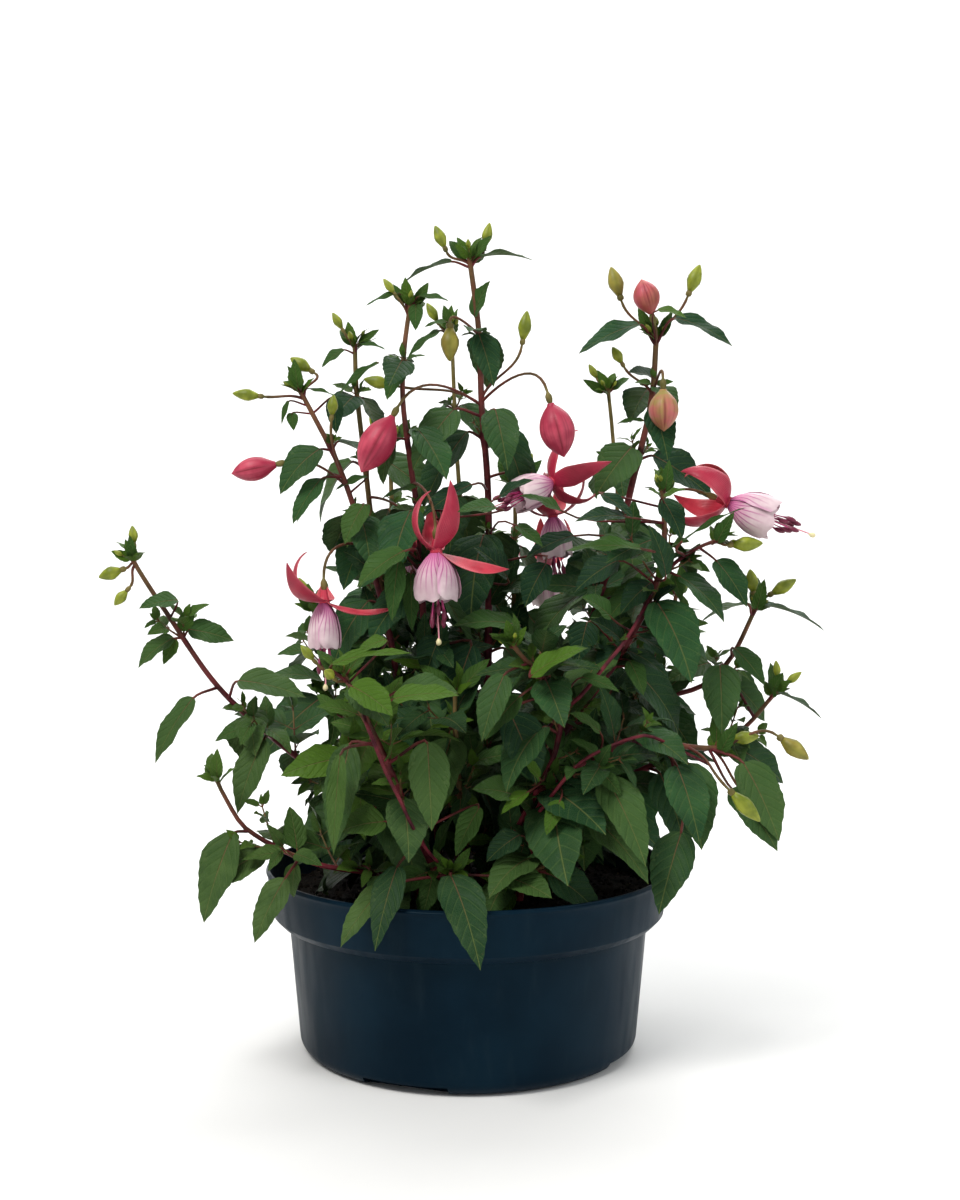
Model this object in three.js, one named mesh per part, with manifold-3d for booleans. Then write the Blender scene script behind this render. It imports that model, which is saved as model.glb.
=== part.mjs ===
// Fuchsia plant in a round plastic nursery pot that stands free.
// Millimetres, +Z up. The origin is the centre of the pot's flat base, where the pot stands.
// The front of the plant faces -Y, with +X to its right.

import * as THREE from 'three';
import { mergeVertices } from 'three/addons/utils/BufferGeometryUtils.js';
import Module from 'manifold-3d';

const wasm = await Module();
wasm.setup();

// Driving dimensions

const POT = {
  sides: 28,
  height: 124,
  rimRadius: 137,
  collarFootRadius: 133,
  collarHeight: 35,
  collarChamfer: 5,
  bodyTopRadius: 122,
  bodyFootRadius: 115,
  footRound: 10,
  wall: 1.8,
  base: 2.4,
  cornerSteps: 2,
};
const NOTCH = { count: 4, turn: -111, width: 58, depth: 15, height: 6 };
const DRAIN = { count: 4, turn: -66, radius: 4.5, circle: 62, sides: 6 };
const SOIL = { edge: 103.5, dome: 3, domeRing: 70, bump: 0.7, waves: [11, 13, 7], gap: 0.3 };
const ROOT = { level: 108, depth: 25, clearance: 0.35 };
const GAP = 0.3;
const CLEARANCE = 0.4;
const OWN_CLEARANCE = 0.15;

const STEM = { tipRadius: 1, taper: 0.8, step: 48, sides: 4 };

const LEAF = {
  stations: [0.22, 0.6],
  smallStations: [0.38],
  smallLength: 34,
  widthPower: 0.55,
  widthPeak: 0.365,
  halfWidthShare: 0.3,
  halfThickness: 0.6,
  fold: 0.22,
  petioleShare: 0.2,
  stalkRadius: 1.1,
  sunkShare: 0.6,
  sideTurn: 0.5,
};

// How the pairs of leaves follow each other down a shoot, and how much each leaf strays
const PAIRS = {
  spacing: 1.15,
  youngest: 0.36,
  gain: 0.34,
  endInset: 2,
  tipLift: 55,
  topRise: 30,
  follow: 0.5,
  stalkLean: 0.62,
};
const PLACED = { tries: 60, stalkDrop: 6 };
const STRAY = { azimuth: 18, length: [0.88, 1.1], lift: 14, roll: 20, curl: [0.35, 0.95] };

const PEDICEL = { radius: 0.8, sides: 4 };
const OVARY = { length: 7, radius: 2.3, swell: [[0.35, 1], [0.75, 1], [1, 0.7]] };
const GREEN_BUD = { ovary: 4.2, neck: 0.42, swell: [[0.38, 1], [0.72, 0.72]] };
const STALK = { longSpan: 40, longSteps: 3, shortSteps: 2, lean: 0.6, pull: 0.4 };

const BLOOM = {
  tubeLength: 9,
  tubeSides: 6,
  tubeSections: [[0, 2.3], [4, 2.9], [9, 4.1]],
  sepalLength: 50,
  sepalHalfWidth: 7.5,
  sepalHalfThickness: 0.6,
  sepalFold: -0.2,
  sepalStations: [0.2, 0.45, 0.72],
  sepalSink: 1.8,
  corollaLength: 31,
  corollaRadius: 14,
};

// Each petal: shares of the corolla's length, of its radius outwards and of its radius to a side
const PETAL = {
  count: 4,
  sections: [[0.3, 0.74, 0.56], [0.68, 1, 0.74], [0.94, 0.96, 0.45]],
  tip: 0.93,
  inner: 0.78,
  halfThickness: 0.5,
  bend: 0.42,
  foot: 0.5,
};
const PLUG = { height: 3, footRadius: 2.4, radius: 4, sides: 4 };

// Filaments and style, as heights above the bloom's foot and distances from its axis
const SEAT = { height: 2.2, footRadius: 1.2, radius: 2.2, sides: 6 };
const FILAMENT = { count: 6, sides: 3, sink: 0.5, circle: 1.4, radius: 0.35, topRadius: 0.5 };
const ANTHER = { reach: 50, stagger: 4, spread: 3.6, spreadStep: 1.6, radius: 1.5, length: 5 };
const STYLE = { reach: 68, radius: 0.6, stigmaRadius: 1.8, stigmaLength: 4 };

// A closed pink bud: shares of its length, and of its radius or else millimetres at its foot
const BUD = {
  footRadii: [[0, 2.1], [0.08, 3.6]],
  swell: [[0.26, 0.8], [0.52, 1], [0.8, 0.66]],
  sides: 8,
  seam: 0.12,
};

// Finishes

const FINISHES = {
  pot: { color: 0x141b22, roughness: 0.45, metalness: 0 },
  soil: { color: 0x1b1512, roughness: 0.95, metalness: 0 },
  foliage: { color: 0x2f5a2c, roughness: 0.6, metalness: 0 },
  sepal: { color: 0xd8475f, roughness: 0.5, metalness: 0 },
  petal: { color: 0xead3e4, roughness: 0.5, metalness: 0 },
  stamen: { color: 0xb0195c, roughness: 0.45, metalness: 0 },
};

function finish(name) {
  return new THREE.MeshStandardMaterial(FINISHES[name]);
}

// Random numbers that come out the same every time

const DRAW_FACTOR = 16807;
const DRAW_MODULUS = 2147483647;
let drawState = 20261;

function draw(low, high) {
  drawState = (drawState * DRAW_FACTOR) % DRAW_MODULUS;
  return low + (high - low) * (drawState / DRAW_MODULUS);
}

// Small helpers

const UP = new THREE.Vector3(0, 0, 1);
const RIGHT = new THREE.Vector3(1, 0, 0);
const AHEAD = new THREE.Vector3(0, 1, 0);
// Leaves turn their upper faces this way, upwards and to the front
const LIGHT = new THREE.Vector3(0, -0.6, 1);

function vector(list) {
  return new THREE.Vector3(list[0], list[1], list[2]);
}

function radians(degrees) {
  return THREE.MathUtils.degToRad(degrees);
}

// The part of a vector that is square to a unit direction, as a unit vector
function squareTo(direction, value) {
  return value.clone().addScaledVector(direction, -value.dot(direction)).normalize();
}

// Solids: a closed three.js geometry becomes a body that can be joined and cut, and back

function signedVolume(position, index) {
  const a = new THREE.Vector3();
  const b = new THREE.Vector3();
  const c = new THREE.Vector3();
  let volume = 0;
  for (let i = 0; i < index.length; i += 3) {
    a.fromBufferAttribute(position, index[i]);
    b.fromBufferAttribute(position, index[i + 1]);
    c.fromBufferAttribute(position, index[i + 2]);
    volume += a.dot(b.cross(c)) / 6;
  }
  return volume;
}

function toBody(geometry) {
  const bare = geometry.clone();
  bare.deleteAttribute('normal');
  bare.deleteAttribute('uv');
  const merged = mergeVertices(bare, 1e-4);
  const corners = [];
  const all = merged.index.array;
  for (let i = 0; i < all.length; i += 3) {
    const [a, b, c] = [all[i], all[i + 1], all[i + 2]];
    if (a !== b && b !== c && c !== a) corners.push(a, b, c);
  }
  const position = merged.getAttribute('position');
  if (signedVolume(position, corners) < 0) corners.reverse();
  return new wasm.Manifold(new wasm.Mesh({
    numProp: 3,
    vertProperties: new Float32Array(position.array),
    triVerts: new Uint32Array(corners),
  }));
}

// Joins bodies into one. A hollow that joining seals is filled, and a loose scrap is dropped.
function joined(bodies) {
  const pieces = wasm.Manifold.union(bodies).decompose();
  return pieces.reduce((largest, piece) => (piece.volume() > largest.volume() ? piece : largest));
}

function toGeometry(body) {
  const mesh = body.getMesh();
  const geometry = new THREE.BufferGeometry();
  geometry.setAttribute('position', new THREE.BufferAttribute(new Float32Array(mesh.vertProperties), 3));
  geometry.setIndex(new THREE.BufferAttribute(new Uint32Array(mesh.triVerts), 1));
  return geometry;
}

// A closed body through rings of points. A ring of one point starts or ends it, and where the next
// ring has one point more, the extra point is the last one. Both faces of a blade are split alike.
function loft(rings) {
  const positions = [];
  const index = [];
  const starts = [];
  for (const ring of rings) {
    starts.push(positions.length / 3);
    for (const point of ring) positions.push(point.x, point.y, point.z);
  }
  for (let i = 1; i + 1 < rings[0].length; i += 1) index.push(0, i + 1, i);
  for (let r = 0; r + 1 < rings.length; r += 1) {
    const count = rings[r].length;
    const nextCount = rings[r + 1].length;
    const a = starts[r];
    const b = starts[r + 1];
    if (count === 1) {
      for (let i = 0; i < nextCount; i += 1) index.push(a, b + ((i + 1) % nextCount), b + i);
      continue;
    }
    for (let i = 0; i < count; i += 1) {
      const j = (i + 1) % count;
      if (nextCount === 1) {
        index.push(a + i, a + j, b);
      } else if (nextCount > count && j === 0) {
        index.push(a + i, a, b + count, a, b, b + count, a + i, b + count, b + i);
      } else if (i < count / 2) {
        index.push(a + i, a + j, b + j, a + i, b + j, b + i);
      } else {
        index.push(a + i, a + j, b + i, a + j, b + j, b + i);
      }
    }
  }
  const lastCount = rings[rings.length - 1].length;
  const last = starts[rings.length - 1];
  for (let i = 1; i + 1 < lastCount; i += 1) index.push(last, last + i, last + i + 1);
  const geometry = new THREE.BufferGeometry();
  geometry.setAttribute('position', new THREE.Float32BufferAttribute(positions, 3));
  geometry.setIndex(index);
  return geometry;
}

// A regular ring of points round a centre, in the plane of two directions
function ringOf(centre, across, over, radius, sides) {
  const ring = [];
  for (let i = 0; i < sides; i += 1) {
    const angle = (2 * Math.PI * i) / sides;
    ring.push(centre.clone()
      .addScaledVector(across, radius * Math.cos(angle))
      .addScaledVector(over, radius * Math.sin(angle)));
  }
  return ring;
}

// A round tube with its own radius at each point, carried along without twisting
function taperedTube(points, tangents, radii, firstAcross, sides) {
  let across = firstAcross;
  return points.map((point, i) => {
    across = squareTo(tangents[i], across);
    const over = tangents[i].clone().cross(across);
    return ringOf(point, across, over, radii[i], sides);
  });
}

function lathed(profile) {
  const points = profile.map(([radius, height]) => new THREE.Vector2(radius, height));
  return new THREE.LatheGeometry(points, POT.sides).rotateX(Math.PI / 2);
}

// The pot

// The round corner between the base and the wall, as points of a quarter circle
function cornerPoints(radius, wallFoot, floor, steps) {
  const points = [];
  for (let i = 0; i <= steps; i += 1) {
    const angle = (Math.PI / 2) * (i / steps);
    const across = wallFoot - radius + radius * Math.sin(angle);
    points.push([across, floor + radius - radius * Math.cos(angle)]);
  }
  return points;
}

const collarFoot = POT.height - POT.collarHeight;

function potOutside() {
  return toBody(lathed([
    [0, 0],
    ...cornerPoints(POT.footRound, POT.bodyFootRadius, 0, POT.cornerSteps),
    [POT.bodyTopRadius, collarFoot],
    [POT.collarFootRadius - POT.collarChamfer, collarFoot],
    [POT.collarFootRadius, collarFoot + POT.collarChamfer],
    [POT.rimRadius, POT.height],
    [0, POT.height],
  ]));
}

// The profile of the space inside the pot up to the collar, made smaller by a margin all round
function innerProfile(margin, steps) {
  const shrink = POT.wall + margin;
  const floor = POT.base + margin;
  const ledge = collarFoot + shrink;
  return [
    [0, floor],
    ...cornerPoints(POT.footRound - shrink, POT.bodyFootRadius - shrink, floor, steps),
    [POT.bodyTopRadius - shrink, ledge],
    [POT.collarFootRadius - POT.collarChamfer - shrink / 2, ledge],
    [POT.collarFootRadius - shrink, ledge + POT.collarChamfer],
  ];
}

function potInside() {
  return toBody(lathed([
    ...innerProfile(0, POT.cornerSteps),
    [POT.rimRadius - POT.wall, POT.height + 1],
    [0, POT.height + 1],
  ]));
}

// Blocks at the foot of the wall, one for each drainage notch, made larger by a margin
function notchBlocks(margin) {
  const blocks = [];
  const reach = POT.bodyFootRadius + POT.footRound;
  const inner = POT.bodyFootRadius - NOTCH.depth - margin;
  const height = NOTCH.height + margin;
  for (let i = 0; i < NOTCH.count; i += 1) {
    const box = new THREE.BoxGeometry(reach - inner, NOTCH.width + 2 * margin, 2 * height);
    box.translate((reach + inner) / 2, 0, 0);
    box.rotateZ(radians(NOTCH.turn + (360 / NOTCH.count) * i));
    blocks.push(toBody(box));
  }
  return wasm.Manifold.union(blocks);
}

function drainHoles() {
  const holes = [];
  for (let i = 0; i < DRAIN.count; i += 1) {
    const hole = new THREE.CylinderGeometry(DRAIN.radius, DRAIN.radius, 4 * POT.base, DRAIN.sides);
    hole.rotateX(Math.PI / 2);
    hole.translate(DRAIN.circle, 0, 0);
    hole.rotateZ(radians(DRAIN.turn + (360 / DRAIN.count) * i));
    holes.push(toBody(hole));
  }
  return wasm.Manifold.union(holes);
}

function makePot() {
  const hollow = potInside().subtract(notchBlocks(POT.wall));
  return potOutside().subtract(hollow).subtract(notchBlocks(0)).subtract(drainHoles());
}

// The soil, a low dome with an uneven top

function soilLevel(x, y) {
  const out = Math.hypot(x, y) / POT.rimRadius;
  const [alongX, alongY, across] = SOIL.waves;
  const bumps = Math.sin(x / alongX) * Math.cos(y / alongY) + Math.sin((x + y) / across);
  return SOIL.edge + SOIL.dome * (1 - out * out) + SOIL.bump * bumps;
}

function makeSoil(stems) {
  const top = lathed([
    ...innerProfile(SOIL.gap, 1),
    [POT.collarFootRadius - POT.wall - SOIL.gap + 1, SOIL.edge],
    [SOIL.domeRing, POT.height],
    [0, POT.height],
  ]);
  const position = top.getAttribute('position');
  for (let i = 0; i < position.count; i += 1) {
    if (position.getZ(i) > POT.height - 1) {
      position.setZ(i, soilLevel(position.getX(i), position.getY(i)));
    }
  }
  const holes = stems.map((stem) => {
    const shoot = stem.shoots[0];
    const radius = shoot.radius + ROOT.clearance / Math.cos(Math.PI / STEM.sides);
    const curve = new GrowthCurve(shoot.path, true);
    const foot = curve.getPoint(0);
    return toBody(loft([ROOT.level - ROOT.depth - GAP, POT.height].map((height) => (
      stemRing(shoot, curve, foot.clone().setZ(height), UP, radius)
    ))));
  });
  return toBody(top).subtract(notchBlocks(POT.wall + SOIL.gap)).subtract(wasm.Manifold.union(holes));
}

// Stems follow a smooth curve through hand-placed points, measured along the chords between them

class GrowthCurve extends THREE.Curve {
  constructor(path, upright) {
    super();
    this.points = path.map(vector);
    this.reach = [0];
    for (let i = 1; i < this.points.length; i += 1) {
      this.reach.push(this.reach[i - 1] + this.points[i].distanceTo(this.points[i - 1]));
    }
    this.slopes = this.points.map((point, i) => {
      if (i === 0 && upright) return UP.clone();
      const before = Math.max(i - 1, 0);
      const after = Math.min(i + 1, this.points.length - 1);
      const step = this.points[after].clone().sub(this.points[before]);
      return step.divideScalar(this.reach[after] - this.reach[before]);
    });
  }

  get length() {
    return this.reach[this.reach.length - 1];
  }

  locate(share) {
    const along = share * this.length;
    let i = 0;
    while (i < this.reach.length - 2 && this.reach[i + 1] < along) i += 1;
    const span = this.reach[i + 1] - this.reach[i];
    return { i, span, f: (along - this.reach[i]) / span };
  }

  getPoint(share, target = new THREE.Vector3()) {
    const { i, span, f } = this.locate(share);
    const f2 = f * f;
    const f3 = f2 * f;
    return target.set(0, 0, 0)
      .addScaledVector(this.points[i], 2 * f3 - 3 * f2 + 1)
      .addScaledVector(this.slopes[i], span * (f3 - 2 * f2 + f))
      .addScaledVector(this.points[i + 1], 3 * f2 - 2 * f3)
      .addScaledVector(this.slopes[i + 1], span * (f3 - f2));
  }

  getTangent(share, target = new THREE.Vector3()) {
    const { i, span, f } = this.locate(share);
    const f2 = f * f;
    return target.set(0, 0, 0)
      .addScaledVector(this.points[i], (6 * f2 - 6 * f) / span)
      .addScaledVector(this.slopes[i], 3 * f2 - 4 * f + 1)
      .addScaledVector(this.points[i + 1], (6 * f - 6 * f2) / span)
      .addScaledVector(this.slopes[i + 1], 3 * f2 - 2 * f)
      .normalize();
  }

  // The side direction that azimuths on this shoot start from: level, and square to its lean
  get side() {
    const lean = this.points[this.points.length - 1].clone().sub(this.points[0]);
    return UP.clone().cross(lean).normalize();
  }
}

// A ring round a shoot, turned so that its leaves leave it through the middle of its sides
function stemRing(shoot, curve, centre, tangent, radius) {
  const across = squareTo(tangent, curve.side);
  const over = tangent.clone().cross(across);
  const turn = radians(shoot.turn + 45);
  const first = across.clone().multiplyScalar(Math.cos(turn)).addScaledVector(over, Math.sin(turn));
  return ringOf(centre, first, tangent.clone().cross(first), radius, STEM.sides);
}

function shootSteps(curve) {
  return Math.max(3, Math.round(curve.length / STEM.step));
}

function shootRadius(shoot, share) {
  return STEM.tipRadius + (shoot.radius - STEM.tipRadius) * (1 - share) ** STEM.taper;
}

// The middle of a shoot's straight-sided body at a share of its length
function axisAt(curve, share) {
  const steps = shootSteps(curve);
  const place = Math.max(0, share) * steps;
  const low = Math.min(steps - 1, Math.floor(place));
  return curve.getPoint(low / steps).lerp(curve.getPoint((low + 1) / steps), place - low);
}

function shootBody(shoot, curve, rooted) {
  const steps = shootSteps(curve);
  const rings = [];
  if (rooted) {
    const foot = curve.getPoint(0).setZ(ROOT.level - ROOT.depth);
    rings.push(stemRing(shoot, curve, foot, UP, shoot.radius));
  }
  for (let i = 0; i <= steps; i += 1) {
    const share = i / steps;
    const centre = curve.getPoint(share);
    rings.push(stemRing(shoot, curve, centre, curve.getTangent(share), shootRadius(shoot, share)));
  }
  return toBody(loft(rings));
}

// Leaves: a thin stalk from the stem's axis, and a folded blade whose midrib bends in an arc

function halfWidthAt(leaf, t) {
  return leaf.halfWidth * (t ** LEAF.widthPower) * (1 - t) / LEAF.widthPeak;
}

function ribPoint(leaf, t) {
  const angle = leaf.curl * t;
  return leaf.base.clone()
    .addScaledVector(leaf.along, (leaf.length * Math.sin(angle)) / leaf.curl)
    .addScaledVector(leaf.face, (-leaf.length * (1 - Math.cos(angle))) / leaf.curl);
}

function ribNormal(leaf, t) {
  const angle = leaf.curl * t;
  return leaf.face.clone().multiplyScalar(Math.cos(angle)).addScaledVector(leaf.along, Math.sin(angle));
}

// The three-cornered end of a leaf stalk, square to the bend between the stalk and the blade
function stalkRing(leaf) {
  const stalk = leaf.base.clone().sub(leaf.root).normalize();
  const ahead = stalk.add(leaf.along).normalize();
  const across = squareTo(ahead, leaf.along.clone().cross(leaf.face));
  const over = across.clone().cross(ahead);
  const under = leaf.base.clone().addScaledVector(over, -0.5 * LEAF.stalkRadius);
  return [
    under.clone().addScaledVector(across, LEAF.stalkRadius),
    leaf.base.clone().addScaledVector(over, LEAF.stalkRadius),
    under.clone().addScaledVector(across, -LEAF.stalkRadius),
  ];
}

function bladeRing(leaf, t, across, halfThickness, fold) {
  const centre = ribPoint(leaf, t);
  const normal = ribNormal(leaf, t);
  const half = halfWidthAt(leaf, t);
  return [
    centre.clone().addScaledVector(across, half).addScaledVector(normal, fold * half),
    centre.clone().addScaledVector(normal, halfThickness),
    centre.clone().addScaledVector(across, -half).addScaledVector(normal, fold * half),
    centre.clone().addScaledVector(normal, -halfThickness),
  ];
}

function leafBodies(leaf) {
  const across = leaf.along.clone().cross(leaf.face);
  const small = leaf.length < LEAF.smallLength;
  const stations = small ? LEAF.smallStations : LEAF.stations;
  const outline = stations.map((t) => bladeRing(leaf, t, across, LEAF.halfThickness, LEAF.fold));
  outline.push([ribPoint(leaf, 1)]);
  const foot = stalkRing(leaf);
  const inward = leaf.root.clone().sub(leaf.base).normalize();
  const sunk = [leaf.root.clone().addScaledVector(inward, LEAF.sunkShare * leaf.stemRadius)];
  const whole = small ? [sunk, ...outline] : [sunk, foot, ...outline];
  return { blade: toBody(loft([foot, ...outline])), whole: toBody(loft(whole)) };
}

// A leaf at a joint of a shoot, turned round the stem by an azimuth in degrees
function jointLeaf(shoot, curve, share, azimuth, length, lift, roll, curl) {
  const root = axisAt(curve, share);
  const tangent = curve.getTangent(share);
  const across = squareTo(tangent, curve.side);
  const over = tangent.clone().cross(across);
  const turn = radians(azimuth);
  const out = across.clone().multiplyScalar(Math.cos(turn)).addScaledVector(over, Math.sin(turn));
  const level = out.clone().addScaledVector(tangent, PAIRS.follow).setZ(0).normalize();
  const rise = radians(lift + PAIRS.topRise * Math.max(0, out.z));
  const along = level.clone().multiplyScalar(Math.cos(rise)).addScaledVector(UP, Math.sin(rise));
  const stalk = out.clone().addScaledVector(tangent, PAIRS.stalkLean).normalize();
  const base = root.clone().addScaledVector(stalk, LEAF.petioleShare * length);
  const face = squareTo(along, LIGHT.clone().addScaledVector(level, LEAF.sideTurn));
  face.applyAxisAngle(along, radians(roll));
  const stemRadius = shootRadius(shoot, share);
  const halfWidth = LEAF.halfWidthShare * length;
  return { root, stemRadius, base, along, face, length, halfWidth, curl };
}

// A leaf whose blade runs from a given base to a given tip, on a stalk from the nearest place.
// Its upper face turns to the light, or straight up if the leaf is held level.
function placedLeaf(shoot, curve, spot) {
  const base = vector(spot.base);
  const chord = vector(spot.tip).sub(base);
  let share = 0;
  let nearest = Infinity;
  for (let i = 0; i <= PLACED.tries; i += 1) {
    const distance = axisAt(curve, i / PLACED.tries).distanceTo(base);
    if (distance < nearest) {
      nearest = distance;
      share = i / PLACED.tries;
    }
  }
  share = Math.max(0, share - PLACED.stalkDrop / curve.length);
  const root = axisAt(curve, share);
  const straight = chord.clone().normalize();
  const normal = squareTo(straight, spot.level ? UP : LIGHT);
  const half = spot.curl / 2;
  const along = straight.clone().multiplyScalar(Math.cos(half)).addScaledVector(normal, Math.sin(half));
  const face = normal.clone().multiplyScalar(Math.cos(half)).addScaledVector(straight, -Math.sin(half));
  const length = (chord.length() * half) / Math.sin(half);
  const stemRadius = shootRadius(shoot, share);
  return { root, stemRadius, base, along, face, length, halfWidth: spot.halfWidth, curl: spot.curl };
}

// Turns that a leaf may take to keep clear: yaw and pitch in degrees about its root, and its scale
const DODGES = [
  [0, 0, 1], [0, 12, 1], [0, -14, 1], [18, 0, 1], [-18, 0, 1], [18, 12, 1], [-18, 12, 1],
  [32, -10, 1], [-32, -10, 1], [0, 0, 0.8], [20, 8, 0.8], [-20, 8, 0.8], [40, 0, 0.8], [-40, 0, 0.8],
  [0, 26, 0.7], [0, -28, 0.7], [30, -20, 0.65], [-30, -20, 0.65],
];

function dodged(leaf, [yaw, pitch, scale]) {
  const level = leaf.along.clone().setZ(0).normalize();
  const sideways = level.clone().cross(UP);
  const spin = new THREE.Quaternion().setFromAxisAngle(UP, radians(yaw));
  const tip = new THREE.Quaternion().setFromAxisAngle(sideways, radians(pitch));
  const turn = spin.multiply(tip);
  return {
    root: leaf.root,
    stemRadius: leaf.stemRadius,
    base: leaf.base.clone().sub(leaf.root).applyQuaternion(turn).add(leaf.root),
    along: leaf.along.clone().applyQuaternion(turn),
    face: leaf.face.clone().applyQuaternion(turn),
    length: leaf.length * scale,
    halfWidth: leaf.halfWidth * scale,
    curl: leaf.curl,
  };
}

// All leaves of one shoot, from its tip down: the placed ones, then pairs that cross at each joint
function leafPlans(shoot, curve) {
  const plans = (shoot.placed ?? []).map((spot) => placedLeaf(shoot, curve, spot));
  for (let joint = 0; joint < shoot.pairs; joint += 1) {
    const down = joint / Math.max(1, shoot.pairs - 1);
    const share = 1 - PAIRS.endInset / curve.length - (1 - shoot.bare) * down ** PAIRS.spacing;
    const growth = Math.min(1, PAIRS.youngest + PAIRS.gain * joint);
    for (const side of [0, 180]) {
      const azimuth = shoot.turn + 90 * joint + side + draw(-STRAY.azimuth, STRAY.azimuth);
      const length = shoot.leaf * growth * draw(...STRAY.length);
      const lift = (joint === 0 ? PAIRS.tipLift : -shoot.droop * growth) + draw(-STRAY.lift, STRAY.lift);
      const roll = draw(-STRAY.roll, STRAY.roll);
      const curl = draw(...STRAY.curl);
      plans.push(jointLeaf(shoot, curve, share, azimuth, length, lift, roll, curl));
    }
  }
  return plans;
}

// Flower stalks: they leave the stem upwards and outwards and end along the flower's own axis

function stalkCurve(curve, share, to, axis) {
  const from = axisAt(curve, share);
  const tangent = curve.getTangent(share);
  const span = to.distanceTo(from);
  const leave = to.clone().sub(from).normalize().addScaledVector(tangent, STALK.lean).normalize();
  return new THREE.CubicBezierCurve3(
    from,
    from.clone().addScaledVector(leave, STALK.pull * span),
    to.clone().addScaledVector(axis, -STALK.pull * span),
    to,
  );
}

function stalkRings(curve, sections) {
  const points = [];
  const tangents = [];
  const radii = [];
  const long = curve.v0.distanceTo(curve.v3) > STALK.longSpan;
  const steps = long ? STALK.longSteps : STALK.shortSteps;
  const end = curve.getPoint(1);
  const axis = end.clone().sub(curve.v2).normalize();
  for (let i = 0; i <= steps; i += 1) {
    points.push(curve.getPoint(i / steps));
    tangents.push(curve.getTangent(i / steps));
    radii.push(PEDICEL.radius);
  }
  for (const [along, radius] of sections) {
    points.push(end.clone().addScaledVector(axis, along));
    tangents.push(axis);
    radii.push(radius);
  }
  const across = squareTo(tangents[0], Math.abs(tangents[0].x) > 0.8 ? UP : RIGHT);
  const rings = taperedTube(points, tangents, radii, across, PEDICEL.sides);
  rings[0] = [points[0]];
  return rings;
}

// A small green bud with its ovary, on its stalk
function greenBud(curve, share, flower) {
  const axis = vector(flower.axis).normalize();
  const { length, radius } = flower;
  const start = GREEN_BUD.ovary;
  const base = vector(flower.centre).addScaledVector(axis, -length / 2 - start);
  const stalk = stalkCurve(curve, share, base, axis);
  const rings = stalkRings(stalk, [
    [start, radius * GREEN_BUD.neck],
    ...GREEN_BUD.swell.map(([share, wide]) => [start + length * share, radius * wide]),
  ]);
  rings.push([vector(flower.centre).addScaledVector(axis, length / 2)]);
  return toBody(loft(rings));
}

// A stalk that ends in the ovary of a bloom or of a large bud, which starts a small gap further on
function ovaryStalk(curve, share, seat, axis) {
  const base = seat.clone().addScaledVector(axis, -OVARY.length - GAP);
  const stalk = stalkCurve(curve, share, base, axis);
  return toBody(loft(stalkRings(stalk, [
    ...OVARY.swell.map(([share, wide]) => [OVARY.length * share, OVARY.radius * wide]),
  ])));
}

// Blooms, made along +Z from the foot of the tube, then placed

function bloomTube(flower) {
  const size = flower.size;
  const rings = BLOOM.tubeSections.map(([height, radius]) => {
    const centre = new THREE.Vector3(0, 0, height * size);
    return ringOf(centre, RIGHT, AHEAD, radius * size, BLOOM.tubeSides);
  });
  const bodies = [toBody(loft(rings))];
  for (const [azimuth, curl, lift] of flower.sepals) {
    const turn = radians(azimuth);
    const out = new THREE.Vector3(Math.cos(turn), Math.sin(turn), 0);
    const rise = radians(lift);
    const leaf = {
      base: new THREE.Vector3(0, 0, (BLOOM.tubeLength - BLOOM.sepalSink) * size),
      along: out.clone().multiplyScalar(Math.cos(rise)).addScaledVector(UP, Math.sin(rise)),
      face: UP.clone().multiplyScalar(Math.cos(rise)).addScaledVector(out, -Math.sin(rise)),
      length: BLOOM.sepalLength * size,
      halfWidth: BLOOM.sepalHalfWidth * size,
      curl,
    };
    const across = leaf.along.clone().cross(leaf.face);
    const sepal = [[leaf.base]];
    for (const t of BLOOM.sepalStations) {
      sepal.push(bladeRing(leaf, t, across, BLOOM.sepalHalfThickness, BLOOM.sepalFold));
    }
    sepal.push([ribPoint(leaf, 1)]);
    bodies.push(toBody(loft(sepal)));
  }
  return joined(bodies);
}

const corollaFoot = BLOOM.tubeLength + GAP;

// One broad petal, bowed outwards along its length and bent round the corolla across it
function petalBody(flower, azimuth, layer) {
  const size = flower.size;
  const turn = radians(azimuth);
  const out = new THREE.Vector3(Math.cos(turn), Math.sin(turn), 0);
  const across = out.clone().cross(UP);
  const radius = BLOOM.corollaRadius * flower.open * layer;
  const rings = PETAL.sections.map(([t, outShare, halfShare]) => {
    const reach = outShare * radius;
    const half = halfShare * radius;
    const centre = new THREE.Vector3(0, 0, (corollaFoot + BLOOM.corollaLength * t) * size)
      .addScaledVector(out, reach * size);
    const inset = PETAL.bend * halfShare * half * size;
    const side = (way) => centre.clone()
      .addScaledVector(across, way * half * size)
      .addScaledVector(out, -inset);
    return [
      side(1),
      centre.clone().addScaledVector(out, PETAL.halfThickness),
      side(-1),
      centre.clone().addScaledVector(out, -PETAL.halfThickness),
    ];
  });
  const foot = new THREE.Vector3(0, 0, (corollaFoot + PETAL.foot) * size);
  const tip = new THREE.Vector3(0, 0, (corollaFoot + BLOOM.corollaLength) * size);
  return toBody(loft([[foot], ...rings, [tip.addScaledVector(out, PETAL.tip * radius * size)]]));
}

function bloomCorolla(flower) {
  const plug = [[0, PLUG.footRadius], [PLUG.height, PLUG.radius]].map(([height, radius]) => {
    const centre = new THREE.Vector3(0, 0, (corollaFoot + height) * flower.size);
    return ringOf(centre, RIGHT, AHEAD, radius * flower.size, PLUG.sides);
  });
  const bodies = [toBody(loft(plug))];
  for (let petal = 0; petal < PETAL.count; petal += 1) {
    const layer = petal % 2 ? PETAL.inner : 1;
    bodies.push(petalBody(flower, flower.petalTurn + (360 / PETAL.count) * petal, layer));
  }
  return joined(bodies);
}

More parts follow.
